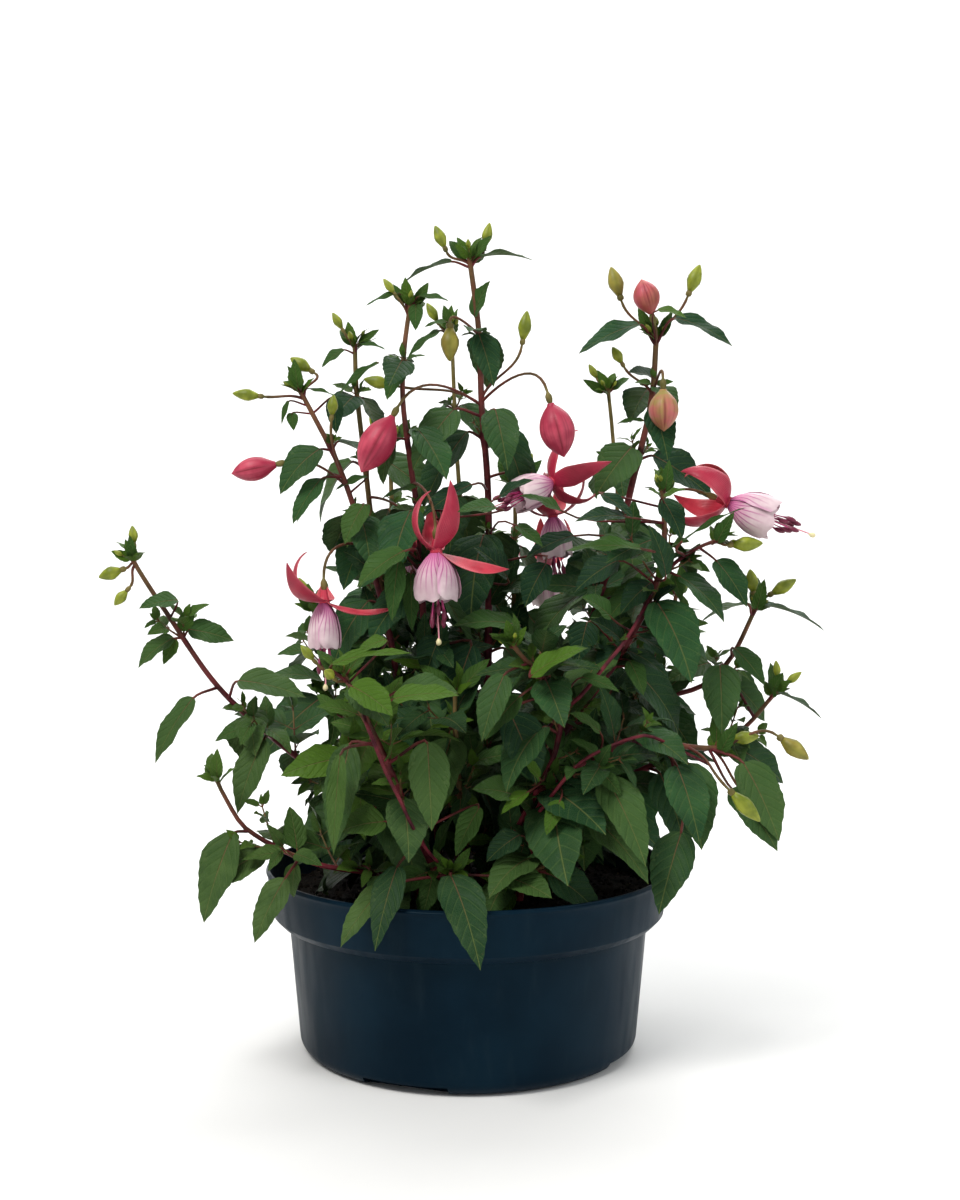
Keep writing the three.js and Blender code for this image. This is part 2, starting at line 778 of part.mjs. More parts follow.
// Stamens round a longer style, all on one small seat. Sections are height, distance from the
// bloom's axis and radius, and a section of radius 0 is a point.
function bloomStamens(flower) {
  const foot = corollaFoot + PLUG.height + GAP;
  const start = foot + SEAT.height - FILAMENT.sink;
  const threads = [{
    turn: 0,
    sides: SEAT.sides,
    sections: [[foot, 0, SEAT.footRadius], [foot + SEAT.height, 0, SEAT.radius]],
  }, {
    turn: 0,
    sides: FILAMENT.sides,
    sections: [
      [start, 0, STYLE.radius],
      [STYLE.reach - STYLE.stigmaLength, 0, STYLE.radius],
      [STYLE.reach - STYLE.stigmaLength / 2, 0, STYLE.stigmaRadius],
      [STYLE.reach, 0, 0],
    ],
  }];
  for (let i = 0; i < FILAMENT.count; i += 1) {
    const reach = ANTHER.reach - ANTHER.stagger * (i % 3);
    const spread = ANTHER.spread + ANTHER.spreadStep * (i % 2);
    threads.push({
      turn: radians((360 / FILAMENT.count) * i),
      sides: FILAMENT.sides,
      sections: [
        [start, FILAMENT.circle, FILAMENT.radius],
        [reach - ANTHER.length, spread, FILAMENT.topRadius],
        [reach - ANTHER.length / 2, spread, ANTHER.radius],
        [reach, spread, 0],
      ],
    });
  }
  const bodies = threads.map(({ turn, sides, sections }) => {
    const rings = sections.map(([height, out, radius]) => {
      const centre = new THREE.Vector3(Math.cos(turn) * out, Math.sin(turn) * out, height);
      centre.multiplyScalar(flower.size);
      return radius === 0 ? [centre] : ringOf(centre, RIGHT, AHEAD, radius * flower.size, sides);
    });
    return toBody(loft(rings));
  });
  return joined(bodies);
}

// A large closed bud with four seams, made along +Z from its foot, then placed
function largeBud(flower) {
  const sections = [
    ...BUD.footRadii,
    ...BUD.swell.map(([share, wide]) => [share, wide * flower.radius]),
  ];
  const rings = sections.map(([share, radius]) => {
    const centre = new THREE.Vector3(0, 0, share * flower.length);
    const ring = ringOf(centre, RIGHT, AHEAD, radius, BUD.sides);
    return ring.map((point, i) => (i % 2 ? point.lerp(centre, BUD.seam) : point));
  });
  return toBody(loft([...rings, [new THREE.Vector3(0, 0, flower.length)]]));
}

// The turn that lays +Z along an axis, with +X kept as far to the right as it can be
function layAlong(axis) {
  const across = squareTo(axis, RIGHT);
  const over = axis.clone().cross(across);
  return new THREE.Matrix4().makeBasis(across, over, axis);
}

// The plant: each entry is one leafy stem, whose first shoot stands in the soil and whose other
// shoots branch off it. Paths are points in millimetres, from the soil or the branching to the tip.
// Flowers: "green" buds belong to the stem, "bud" and "bloom" are bodies that hang on its stalks.

const STEMS = [
  {
    name: 'stem_tall_centre',
    shoots: [{
      path: [[8, 10, 108], [12, 8, 170], [13, 6, 235], [14, 5, 331], [13, 3, 383], [9, 0, 435],
        [7, 0, 485], [1, 0, 532]],
      radius: 3.1, pairs: 6, leaf: 60, bare: 0.2, turn: 35, droop: 42,
      placed: [
        { base: [-9, -2, 533], tip: [-47, -6, 525], halfWidth: 9, curl: 0.6, level: true },
        { base: [7, -2, 533], tip: [44, -6, 530], halfWidth: 8, curl: 0.6, level: true },
        { base: [-9, -9, 432], tip: [-36, -30, 391], halfWidth: 14, curl: 0.5 },
        { base: [18, -10, 432], tip: [26, -34, 391], halfWidth: 13, curl: 0.5 },
        { base: [7, -9, 482], tip: [17, -20, 446], halfWidth: 10, curl: 0.5 },
      ],
      flowers: [
        { kind: 'green', share: 0.99, centre: [-19, -2, 547], axis: [-0.4, 0, 0.9], length: 15, radius: 4.5 },
        { kind: 'green', share: 0.99, centre: [13, 2, 549], axis: [0.2, 0, 0.97], length: 15, radius: 4 },
        { kind: 'green', share: 0.88, centre: [-12, -12, 474], axis: [0, -0.1, -1], length: 22, radius: 7 },
        { kind: 'green', share: 0.77, centre: [-62, 10, 451], axis: [-0.93, 0, 0.2], length: 18, radius: 5 },
        { kind: 'green', share: 0.78, centre: [38, -6, 488], axis: [0.15, 0, 0.98], length: 19, radius: 5 },
        { kind: 'bud', name: 'bud_left_of_centre', share: 0.77, centre: [-59, -40, 408],
          axis: [-0.49, -0.05, -0.87], length: 42, radius: 11.5 },
        { kind: 'bud', name: 'bud_right_of_centre', share: 0.775, centre: [58, -44, 417],
          axis: [0.25, 0, -0.96], length: 36, radius: 11.5 },
        { kind: 'bloom', name: 'bloom_behind_right', share: 0.655, centre: [58, 22, 359],
          axis: [0.12, -0.1, -1], size: 0.9, open: 0.9, petalTurn: 10,
          sepals: [[20, 1.9, 5], [115, 1.6, 0], [205, 2.1, 5], [290, 1.8, 0]] },
      ],
    }],
  },
  {
    name: 'stem_left_centre',
    shoots: [{
      path: [[-19, -12, 108], [-24, -20, 190], [-29, -22, 278], [-33, -20, 358], [-38, -20, 395],
        [-43, -20, 438], [-42, -20, 470], [-38, -20, 500]],
      radius: 2.6, pairs: 7, leaf: 56, bare: 0.22, turn: 70, droop: 39,
      placed: [
        { base: [-43, -36, 339], tip: [-71, -50, 314], halfWidth: 12, curl: 0.5 },
      ],
      flowers: [
        { kind: 'bloom', name: 'bloom_front', share: 0.7, centre: [-20, -62, 338],
          axis: [0.03, -0.1, -1], size: 1, open: 1, petalTurn: 30,
          sepals: [[178, 2.4, -18], [46, 1.3, -34], [-8, 0.8, 38], [262, 2.0, 0]] },
        { kind: 'green', share: 0.98, centre: [-52, -24, 512], axis: [-0.6, 0, 0.8], length: 11, radius: 3 },
      ],
    }],
  },
  {
    name: 'stem_behind_centre',
    shoots: [{
      path: [[-2, 52, 108], [-4, 62, 200], [-6, 62, 300], [-6, 60, 363], [-9, 60, 413], [-12, 60, 490]],
      radius: 2.1, pairs: 5, leaf: 54, bare: 0.3, turn: 20, droop: 42,
      flowers: [
        { kind: 'green', share: 0.99, centre: [-26, 62, 503], axis: [-0.5, 0, 0.85], length: 14, radius: 4 },
      ],
    }],
  },
  {
    name: 'stem_left_second',
    shoots: [{
      path: [[-28, 24, 108], [-44, 34, 200], [-57, 34, 288], [-66, 32, 347], [-71, 30, 392],
        [-77, 30, 447], [-78, 30, 477]],
      radius: 2.6, pairs: 7, leaf: 56, bare: 0.22, turn: 80, droop: 42,
      flowers: [
        { kind: 'bloom', name: 'bloom_behind_left', share: 0.72, centre: [-38, 12, 332],
          axis: [0, -0.1, -1], size: 0.85, open: 0.9, petalTurn: 0,
          sepals: [[15, 2.0, 0], [100, 1.7, 0], [195, 1.5, 0], [280, 2.0, 0]] },
        { kind: 'green', share: 0.99, centre: [-90, 28, 494], axis: [-0.5, 0, 0.85],
          length: 12, radius: 3.5 },
      ],
    }],
  },
  {
    name: 'stem_left_third',
    shoots: [{
      path: [[-30, -2, 108], [-42, -8, 200], [-52, -10, 278], [-68, -15, 340], [-85, -20, 393],
        [-104, -20, 431], [-111, -20, 444]],
      radius: 2.6, pairs: 6, leaf: 56, bare: 0.22, turn: 0, droop: 45,
      placed: [
        { base: [-68, -34, 369], tip: [-80, -44, 343], halfWidth: 9, curl: 0.5 },
        { base: [-96, -30, 386], tip: [-114, -40, 356], halfWidth: 8, curl: 0.5 },
      ],
      flowers: [
        { kind: 'bloom', name: 'bloom_left', share: 0.68, centre: [-92, -62, 306],
          axis: [0.02, -0.1, -1], size: 0.95, open: 0.75, petalTurn: 50,
          sepals: [[178, 2.8, 8], [125, 1.6, 12], [-2, 1.1, 38], [265, 1.0, 10]] },
        { kind: 'bud', name: 'bud_far_left', share: 0.8, centre: [-141, -26, 392],
          axis: [-0.97, 0, -0.2], length: 30, radius: 8 },
        { kind: 'green', share: 0.81, centre: [-88, -34, 434], axis: [0.1, 0, 1], length: 13, radius: 4 },
        { kind: 'green', share: 0.98, centre: [-147, -20, 441], axis: [-0.95, 0, 0.1],
          length: 17, radius: 4.5 },
        { kind: 'green', share: 0.99, centre: [-112, -8, 462], axis: [-0.8, 0, 0.5], length: 15, radius: 5 },
      ],
    }],
  },
  {
    name: 'stem_right_tall',
    shoots: [{
      path: [[24, 18, 108], [36, 22, 160], [53, 22, 198], [84, 20, 285], [95, 20, 320], [106, 20, 357],
        [113, 20, 386], [125, 20, 439], [128, 20, 482]],
      radius: 3.3, pairs: 7, leaf: 58, bare: 0.25, turn: 90, droop: 39,
      placed: [
        { base: [116, 12, 490], tip: [74, 2, 469], halfWidth: 10, curl: 0.5 },
        { base: [139, 12, 494], tip: [178, 4, 474], halfWidth: 9, curl: 0.6 },
        { base: [125, 4, 433], tip: [133, -12, 398], halfWidth: 11, curl: 0.5 },
      ],
      flowers: [
        { kind: 'green', share: 0.99, centre: [100, 22, 520], axis: [-0.3, 0, 0.95], length: 20, radius: 6 },
        { kind: 'green', share: 0.99, centre: [154, 20, 522], axis: [0.35, 0, 0.93],
          length: 19, radius: 5.5 },
        { kind: 'bud', name: 'bud_top_right', share: 0.98, centre: [120, 8, 508],
          axis: [-0.3, -0.1, 0.95], length: 24, radius: 9 },
        { kind: 'green', share: 0.9, centre: [101, 18, 470], axis: [-0.5, 0, 0.85], length: 12, radius: 4 },
        { kind: 'bud', name: 'bud_right_side', share: 0.9, centre: [130, -12, 431],
          axis: [0.02, -0.05, -1], length: 28, radius: 10 },
        { kind: 'bloom', name: 'bloom_centre_right', share: 0.76, centre: [55, -10, 383],
          axis: [-0.8, -0.5, -0.33], size: 0.95, open: 0.9, petalTurn: 20,
          sepals: [[35, 1.6, 0], [120, 1.8, 0], [215, 1.3, 0], [300, 2.2, 0]] },
      ],
    }],
  },
  {
    name: 'stem_right_back',
    shoots: [{
      path: [[38, 48, 108], [60, 66, 190], [95, 78, 284], [106, 72, 363], [102, 70, 420], [99, 70, 448]],
      radius: 2.1, pairs: 5, leaf: 54, bare: 0.28, turn: 90, droop: 42,
      flowers: [
        { kind: 'green', share: 0.99, centre: [88, 70, 462], axis: [-0.5, 0, 0.85], length: 11, radius: 3 },
      ],
    }],
  },
  {
    name: 'stem_right_flower',
    shoots: [{
      path: [[24, -22, 108], [34, -36, 160], [52, -48, 205], [69, -50, 229], [103, -50, 278],
        [122, -50, 318], [127, -50, 345], [126, -50, 378]],
      radius: 2.8, pairs: 6, leaf: 60, bare: 0.28, turn: 30, droop: 42,
      flowers: [
        { kind: 'bloom', name: 'bloom_right', share: 0.985, centre: [170, -44, 370],
          axis: [0.92, -0.15, -0.36], size: 1, open: 1, petalTurn: 40,
          sepals: [[8, 3.1, 8], [78, 2.6, 5], [185, 2.1, 0], [265, 2.4, 5]] },
      ],
    }, {
      fork: 0.79,
      path: [[136, -51, 333], [150, -54, 342], [160, -56, 346]],
      radius: 1.5, pairs: 2, leaf: 65, bare: 0.3, turn: 0, droop: 35,
      placed: [
        { base: [161, -46, 333], tip: [180, -56, 303], halfWidth: 11, curl: 0.5 },
      ],
      flowers: [
        { kind: 'green', share: 0.97, centre: [180, -60, 344], axis: [0.98, 0, 0.05],
          length: 19, radius: 5.5 },
      ],
    }],
  },
  {
    name: 'stem_right_outer_top',
    shoots: [{
      path: [[36, 2, 108], [50, 2, 160], [70, 0, 202], [109, 0, 232], [156, -5, 245], [176, -8, 264],
        [193, -10, 299]],
      radius: 2.4, pairs: 4, leaf: 60, bare: 0.3, turn: 0, droop: 31,
      placed: [
        { base: [193, -14, 303], tip: [239, -18, 296], halfWidth: 9, curl: 0.6, level: true },
        { base: [186, -20, 303], tip: [154, -28, 291], halfWidth: 8, curl: 0.5, level: true },
        { base: [176, -30, 274], tip: [195, -38, 250], halfWidth: 9, curl: 0.5 },
      ],
      flowers: [
        { kind: 'green', share: 0.99, centre: [190, -10, 318], axis: [-0.15, 0, 1], length: 15, radius: 5 },
        { kind: 'green', share: 0.99, centre: [212, -12, 314], axis: [0.85, 0, 0.5], length: 18, radius: 5 },
      ],
    }],
  },
  {
    name: 'stem_right_outer_middle',
    shoots: [{
      path: [[38, -14, 108], [58, -18, 150], [88, -22, 178], [127, -24, 196], [164, -24, 208],
        [184, -24, 220], [204, -24, 243]],
      radius: 2.2, pairs: 4, leaf: 64, bare: 0.3, turn: 20, droop: 36,
      placed: [
        { base: [204, -30, 245], tip: [234, -34, 227], halfWidth: 8, curl: 0.5, level: true },
        { base: [165, -46, 260], tip: [164, -60, 213], halfWidth: 13, curl: 0.5 },
      ],
      flowers: [
        { kind: 'green', share: 0.99, centre: [205, -25, 260], axis: [-0.1, 0, 1], length: 11, radius: 3 },
        { kind: 'green', share: 0.99, centre: [217, -24, 254], axis: [0.8, 0, 0.6], length: 12, radius: 3.2 },
      ],
    }],
  },
  {
    name: 'stem_right_low',
    shoots: [{
      path: [[34, -36, 108], [42, -60, 150], [48, -76, 179], [74, -80, 206], [115, -76, 219],
        [142, -68, 214], [161, -62, 212]],
      radius: 3, pairs: 3, leaf: 68, bare: 0.4, turn: 30, droop: 45,
      placed: [
        { base: [168, -78, 189], tip: [195, -96, 152], halfWidth: 13, curl: 0.5 },
        { base: [139, -86, 207], tip: [146, -106, 155], halfWidth: 15, curl: 0.5 },
        { base: [135, -92, 164], tip: [119, -112, 116], halfWidth: 14, curl: 0.5 },
        { base: [86, -95, 200], tip: [109, -130, 150], halfWidth: 14, curl: 0.6 },
        { base: [67, -100, 177], tip: [95, -135, 137], halfWidth: 14, curl: 0.6 },
        { base: [131, -96, 207], tip: [142, -125, 164], halfWidth: 14, curl: 0.6 },
        { base: [176, -72, 205], tip: [196, -95, 158], halfWidth: 15, curl: 0.5 },
      ],
      flowers: [
        { kind: 'green', share: 0.99, centre: [180, -60, 219], axis: [0.95, 0, 0.1], length: 17, radius: 5 },
        { kind: 'green', share: 0.99, centre: [211, -66, 212], axis: [0.8, -0.1, -0.6],
          length: 21, radius: 6.2 },
        { kind: 'green', share: 0.98, centre: [184, -62, 176], axis: [0.6, 0, -0.75], length: 19, radius: 6 },
      ],
    }],
  },
  {
    name: 'stem_left_long',
    shoots: [{
      path: [[-40, 10, 108], [-50, 0, 140], [-70, -12, 168], [-111, -28, 199], [-162, -38, 247],
        [-197, -45, 300], [-213, -45, 325], [-218, -45, 334]],
      radius: 2.4, pairs: 4, leaf: 44, bare: 0.3, turn: 0, droop: 42,
      placed: [
        { base: [-132, -58, 218], tip: [-147, -76, 172], halfWidth: 11, curl: 0.5 },
        { base: [-188, -48, 307], tip: [-212, -56, 302], halfWidth: 9, curl: 0.5 },
        { base: [-178, -50, 244], tip: [-203, -55, 201], halfWidth: 9, curl: 0.5 },
        { base: [-149, -52, 255], tip: [-104, -62, 245], halfWidth: 13, curl: 0.4 },
      ],
      flowers: [
        { kind: 'green', share: 0.99, centre: [-233, -45, 324], axis: [-0.9, 0, -0.3],
          length: 15, radius: 5 },
        { kind: 'green', share: 0.985, centre: [-226, -46, 308], axis: [-0.6, 0, -0.7],
          length: 12, radius: 4 },
        { kind: 'green', share: 0.99, centre: [-217, -46, 350], axis: [-0.1, 0, 1], length: 11, radius: 3.5 },
      ],
    }],
  },
  {
    name: 'stem_left_low',
    shoots: [{
      path: [[-22, -42, 108], [-40, -56, 124], [-64, -72, 133], [-99, -86, 143], [-139, -90, 165],
        [-153, -90, 186], [-158, -90, 197]],
      radius: 2, pairs: 3, leaf: 56, bare: 0.3, turn: 10, droop: 35,
      placed: [
        { base: [-147, -94, 164], tip: [-165, -102, 108], halfWidth: 13.5, curl: 0.5 },
        { base: [-113, -107, 138], tip: [-131, -120, 100], halfWidth: 10, curl: 0.5 },
      ],
      flowers: [],
    }],
  },
  {
    name: 'stem_front_left',
    shoots: [{
      path: [[-14, -56, 108], [-20, -74, 132], [-30, -95, 160], [-40, -110, 188], [-49, -120, 213],
        [-62, -128, 243], [-74, -132, 268]],
      radius: 2.4, pairs: 2, leaf: 62, bare: 0.55, turn: 60, droop: 28,
      placed: [
        { base: [-68, -140, 262], tip: [-46, -160, 240], halfWidth: 13, curl: 0.6 },
        { base: [-41, -130, 258], tip: [-5, -136, 257], halfWidth: 12, curl: 0.6 },
        { base: [-72, -116, 224], tip: [-81, -132, 160], halfWidth: 11, curl: 0.6 },
        { base: [-24, -124, 226], tip: [-21, -140, 174], halfWidth: 13, curl: 0.5 },
        { base: [-43, -115, 147], tip: [-55, -150, 103], halfWidth: 10, curl: 0.7 },
      ],
      flowers: [
        { kind: 'green', share: 0.97, centre: [-97, -126, 281], axis: [-0.6, 0, 0.7],
          length: 11, radius: 3.5 },
        { kind: 'green', share: 0.97, centre: [-82, -146, 270], axis: [-0.3, -0.6, 0.4],
          length: 10, radius: 3.5 },
      ],
    }],
  },
  {
    name: 'stem_front_low',
    shoots: [{
      path: [[-8, -70, 108], [-10, -86, 126], [-10, -98, 137], [-10, -108, 142]],
      radius: 1.8, pairs: 1, leaf: 50, bare: 0.5, turn: 0, droop: 14,
      placed: [
        { base: [-10, -122, 139], tip: [5, -153, 83], halfWidth: 14, curl: 0.9 },
        { base: [-50, -116, 134], tip: [-76, -145, 104], halfWidth: 9, curl: 0.8 },
        { base: [26, -108, 138], tip: [52, -128, 130], halfWidth: 12, curl: 0.4 },
      ],
      flowers: [],
    }],
  },
  {
    name: 'stem_front_right',
    shoots: [{
      path: [[12, -38, 108], [28, -56, 150], [44, -72, 185], [56, -84, 215], [58, -92, 245],
        [50, -98, 262], [38, -106, 272], [28, -112, 284]],
      radius: 2.2, pairs: 4, leaf: 56, bare: 0.45, turn: 30, droop: 28,
      placed: [
        { base: [42, -110, 264], tip: [74, -120, 283], halfWidth: 10, curl: 0.5 },
        { base: [23, -112, 266], tip: [9, -126, 226], halfWidth: 10, curl: 0.6 },
      ],
      flowers: [],
    }],
  },
  {
    name: 'stem_middle_fill',
    shoots: [{
      path: [[0, -22, 108], [-2, -40, 150], [-6, -54, 190], [-8, -62, 224], [-8, -64, 250]],
      radius: 2.2, pairs: 4, leaf: 70, bare: 0.25, turn: 0, droop: 49,
      flowers: [],
    }],
  },
  {
    name: 'stem_right_fill',
    shoots: [{
      path: [[48, 22, 108], [74, 32, 150], [100, 38, 192], [120, 40, 232], [130, 40, 262]],
      radius: 2.2, pairs: 4, leaf: 66, bare: 0.25, turn: 0, droop: 42,
      flowers: [],
    }],
  },
  {
    name: 'stem_left_fill',
    shoots: [{
      path: [[-34, -26, 108], [-46, -44, 140], [-58, -62, 172], [-70, -74, 204], [-78, -80, 236]],
      radius: 2.1, pairs: 4, leaf: 64, bare: 0.25, turn: 30, droop: 42,
      flowers: [],
    }],
  },
  {
    name: 'stem_front_fill',
    shoots: [{
      path: [[20, -58, 108], [32, -80, 130], [48, -96, 143], [62, -102, 152]],
      radius: 2, pairs: 3, leaf: 66, bare: 0.35, turn: 20, droop: 39,
      flowers: [],
    }],
  },
  {
    name: 'stem_back_left',
    shoots: [{
      path: [[-20, 44, 108], [-34, 70, 190], [-48, 92, 280], [-56, 104, 350], [-58, 110, 412]],
      radius: 2.5, pairs: 5, leaf: 60, bare: 0.22, turn: 0, droop: 42,
      flowers: [
        { kind: 'green', share: 0.99, centre: [-70, 118, 428], axis: [-0.4, 0.2, 0.85],
          length: 15, radius: 4.5 },
      ],
    }],
  },
  {
    name: 'stem_back_centre',
    shoots: [{
      path: [[14, 66, 108], [22, 92, 180], [30, 112, 250], [34, 122, 320], [34, 126, 382]],
      radius: 2.5, pairs: 5, leaf: 62, bare: 0.22, turn: 0, droop: 42,
      flowers: [
        { kind: 'bloom', name: 'bloom_back', share: 0.86, centre: [58, 156, 318],
          axis: [0.1, 0.15, -1], size: 0.95, open: 1, petalTurn: 15,
          sepals: [[0, 2.2, 0], [90, 1.6, 0], [180, 2.0, 0], [270, 2.4, 0]] },
        { kind: 'green', share: 0.99, centre: [44, 134, 398], axis: [0.4, 0.2, 0.85],
          length: 15, radius: 4.5 },
      ],
    }],
  },
  {
    name: 'stem_back_far_left',
    shoots: [{
      path: [[-44, 34, 108], [-70, 54, 160], [-92, 68, 210], [-106, 76, 256], [-112, 78, 292]],
      radius: 2.3, pairs: 5, leaf: 62, bare: 0.25, turn: 0, droop: 39,
      flowers: [
        { kind: 'green', share: 0.99, centre: [-120, 82, 308], axis: [-0.4, 0, 0.85], length: 14, radius: 4 },
      ],
    }],
  },
  {
    name: 'stem_back_far_right',
    shoots: [{
      path: [[54, 40, 108], [86, 62, 160], [116, 80, 205], [140, 92, 255], [152, 98, 302]],
      radius: 2.3, pairs: 5, leaf: 62, bare: 0.25, turn: 0, droop: 39,
      flowers: [
        { kind: 'green', share: 0.99, centre: [160, 104, 320], axis: [0.4, 0.2, 0.85],
          length: 14, radius: 4 },
      ],
    }],
  },
  {
    name: 'stem_back_low_right',
    shoots: [{
      path: [[18, 36, 108], [40, 76, 140], [62, 112, 165], [84, 140, 190], [98, 156, 224]],
      radius: 2.1, pairs: 4, leaf: 68, bare: 0.3, turn: 0, droop: 42,
      flowers: [],
    }],
  },
  {
    name: 'stem_back_low_left',
    shoots: [{
      path: [[-6, 26, 108], [-20, 70, 136], [-34, 112, 160], [-52, 144, 190], [-62, 158, 222]],
      radius: 2.1, pairs: 4, leaf: 68, bare: 0.3, turn: 0, droop: 42,
      flowers: [],
    }],
  },
];

// Everything that stands in the way of a leaf: bodies of other nodes, and its own stem's bodies
const standing = [];

function stand(node, body, stalk = false) {
  const box = body.boundingBox();
  standing.push({ node, body, box, stalk });
}

function near(box, other) {
  return [0, 1, 2].every((i) => (
    box.min[i] - CLEARANCE < other.max[i] && other.min[i] - CLEARANCE < box.max[i]
  ));
}

function clearOf(node, bodies) {
  const wholeBox = bodies.whole.boundingBox();
  const bladeBox = bodies.blade.boundingBox();
  return standing.every((item) => {
    if (item.node !== node) {
      return !near(wholeBox, item.box) || bodies.whole.minGap(item.body, CLEARANCE) >= CLEARANCE;
    }
    if (item.stalk || !near(bladeBox, item.box)) return true;
    return bodies.blade.minGap(item.body, OWN_CLEARANCE) >= OWN_CLEARANCE;
  });
}

// Building

const plant = new THREE.Group();
plant.name = 'fuchsia_in_pot';

function addMesh(parent, name, body, finishName) {
  const mesh = new THREE.Mesh(toGeometry(body), finish(finishName));
  mesh.name = name;
  parent.add(mesh);
  return mesh;
}

const pot = makePot();
const soil = makeSoil(STEMS);
addMesh(plant, 'pot', pot, 'pot');
addMesh(plant, 'potting_soil', soil, 'soil');
stand('pot', pot);
stand('potting_soil', soil);

const grown = STEMS.map((stem) => ({ name: stem.name, bodies: [], plans: [] }));

STEMS.forEach((stem, number) => {
  const { bodies } = grown[number];
  const trunk = new GrowthCurve(stem.shoots[0].path, true);
  stem.shoots.forEach((shoot, order) => {
    const fork = order === 0 ? [] : [axisAt(trunk, shoot.fork).toArray()];
    const curve = new GrowthCurve([...fork, ...shoot.path], order === 0);
    bodies.push(shootBody(shoot, curve, order === 0));
    for (const flower of shoot.flowers) {
      if (flower.kind === 'green') {
        bodies.push(greenBud(curve, flower.share, flower));
        continue;
      }
      const axis = vector(flower.axis).normalize();
      const lead = flower.kind === 'bloom' ? BLOOM.tubeLength * flower.size : flower.length / 2;
      const seat = vector(flower.centre).addScaledVector(axis, -lead);
      bodies.push(ovaryStalk(curve, flower.share, seat, axis));
      const holder = new THREE.Group();
      holder.position.copy(seat);
      holder.quaternion.setFromRotationMatrix(layAlong(axis));
      holder.updateMatrix();
      const parts = flower.kind === 'bloom'
        ? [['_sepals', bloomTube(flower), 'sepal'], ['_corolla', bloomCorolla(flower), 'petal'],
          ['_stamens', bloomStamens(flower), 'stamen']]
        : [['', largeBud(flower), 'sepal']];
      for (const [ending, body, look] of parts) {
        const mesh = addMesh(holder, flower.name + ending, body, look);
        stand(mesh.name, toBody(mesh.geometry.clone().applyMatrix4(holder.matrix)));
      }
      plant.add(holder);
    }
    grown[number].plans.push(...leafPlans(shoot, curve));
  });
  for (const body of bodies) stand(stem.name, body);
});

// Leaves are set in rounds, so that each stem gets its tip leaves before any gets its lowest ones
const rounds = Math.max(...grown.map((entry) => entry.plans.length));
for (let round = 0; round < rounds; round += 1) {
  for (const entry of grown) {
    if (round >= entry.plans.length) continue;
    for (const dodge of DODGES) {
      const bodies = leafBodies(dodged(entry.plans[round], dodge));
      if (clearOf(entry.name, bodies)) {
        entry.bodies.push(bodies.whole);
        stand(entry.name, bodies.whole, true);
        stand(entry.name, bodies.blade);
        break;
      }
    }
  }
}

for (const entry of grown) addMesh(plant, entry.name, joined(entry.bodies), 'foliage');

export default plant;
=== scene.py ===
# %% [markdown]
# # A potted fuchsia
# A fuchsia stands in a wide round nursery pot of dark plastic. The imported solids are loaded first.
# They say where the pot, each stem, leaf, bud and bloom is, and this lesson dresses every one of them
# with a finer piece that keeps its place. Sizes of the plant are in millimetres, as a grower would
# measure them, and each mesh is made in metres.

# %% Load the frame
import random
from math import atan2, cos, floor, hypot, pi, radians, sin

import bmesh
import bpy
import numpy as np
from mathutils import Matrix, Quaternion, Vector, kdtree, noise


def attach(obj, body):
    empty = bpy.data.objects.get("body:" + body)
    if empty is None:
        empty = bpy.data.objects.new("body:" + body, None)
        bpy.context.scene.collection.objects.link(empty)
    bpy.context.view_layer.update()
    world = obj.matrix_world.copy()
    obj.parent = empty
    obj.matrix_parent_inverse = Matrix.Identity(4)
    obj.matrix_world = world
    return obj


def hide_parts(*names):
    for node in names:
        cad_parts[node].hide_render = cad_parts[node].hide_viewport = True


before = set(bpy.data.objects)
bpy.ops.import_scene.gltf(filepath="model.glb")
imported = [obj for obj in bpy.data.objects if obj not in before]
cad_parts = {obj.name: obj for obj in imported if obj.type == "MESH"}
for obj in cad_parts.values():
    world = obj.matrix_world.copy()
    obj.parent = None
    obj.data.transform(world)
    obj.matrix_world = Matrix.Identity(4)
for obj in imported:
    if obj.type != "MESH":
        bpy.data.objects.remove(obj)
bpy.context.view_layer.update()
MM = 0.001
UP = Vector((0, 0, 1))
RIGHT = Vector((1, 0, 0))
print("nodes in the frame:", len(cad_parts))

# %% [markdown]
# ## Helpers for meshes and objects
# Every piece ends as a mesh on an object that sits at the origin, so a few small helpers do what all of
# them need: show an object in the scene, make a mesh from points and faces, write a number or a vector
# on each of its points for a material or a tree to read, and give the mesh its finish.


# %% Mesh helpers
def shown(name, data):
    """Puts an object with this data in the scene."""
    thing = bpy.data.objects.new(name, data)
    bpy.context.scene.collection.objects.link(thing)
    return thing


def plain_mesh(name, points, edges=(), faces=()):
    mesh = bpy.data.meshes.new(name)
    mesh.from_pydata([tuple(point) for point in points], list(edges), list(faces))
    return mesh


def mark(mesh, **marks):
    """Writes a number or a vector on each point of a mesh, under a name."""
    for label, values in marks.items():
        values = np.array([tuple(v) if hasattr(v, "__len__") else v for v in values], dtype=np.float32)
        if values.ndim == 1:
            mesh.attributes.new(label, "FLOAT", "POINT").data.foreach_set("value", values)
        else:
            layer = mesh.attributes.new(label, "FLOAT_VECTOR", "POINT")
            layer.data.foreach_set("vector", values.ravel())
    return mesh


def dress(mesh, finish, sharp=None):
    """Gives a mesh its finish and smooth shading. Edges over this many degrees stay sharp."""
    mesh.materials.clear()
    mesh.materials.append(finish)
    mesh.shade_smooth()
    if sharp:
        mesh.set_sharp_from_angle(angle=radians(sharp))


def fade(value, start, end):
    """Goes evenly from 0 where a value is at the start to 1 where it is at the end."""
    return max(0.0, min(1.0, (value - start) / (end - start)))


def evenly(count):
    """Shares from 0 to 1 in even steps."""
    return [i / count for i in range(count + 1)]


def polar(angle, radius=1.0, height=0.0):
    return Vector((radius * cos(angle), radius * sin(angle), height))


print("mesh helpers are ready")

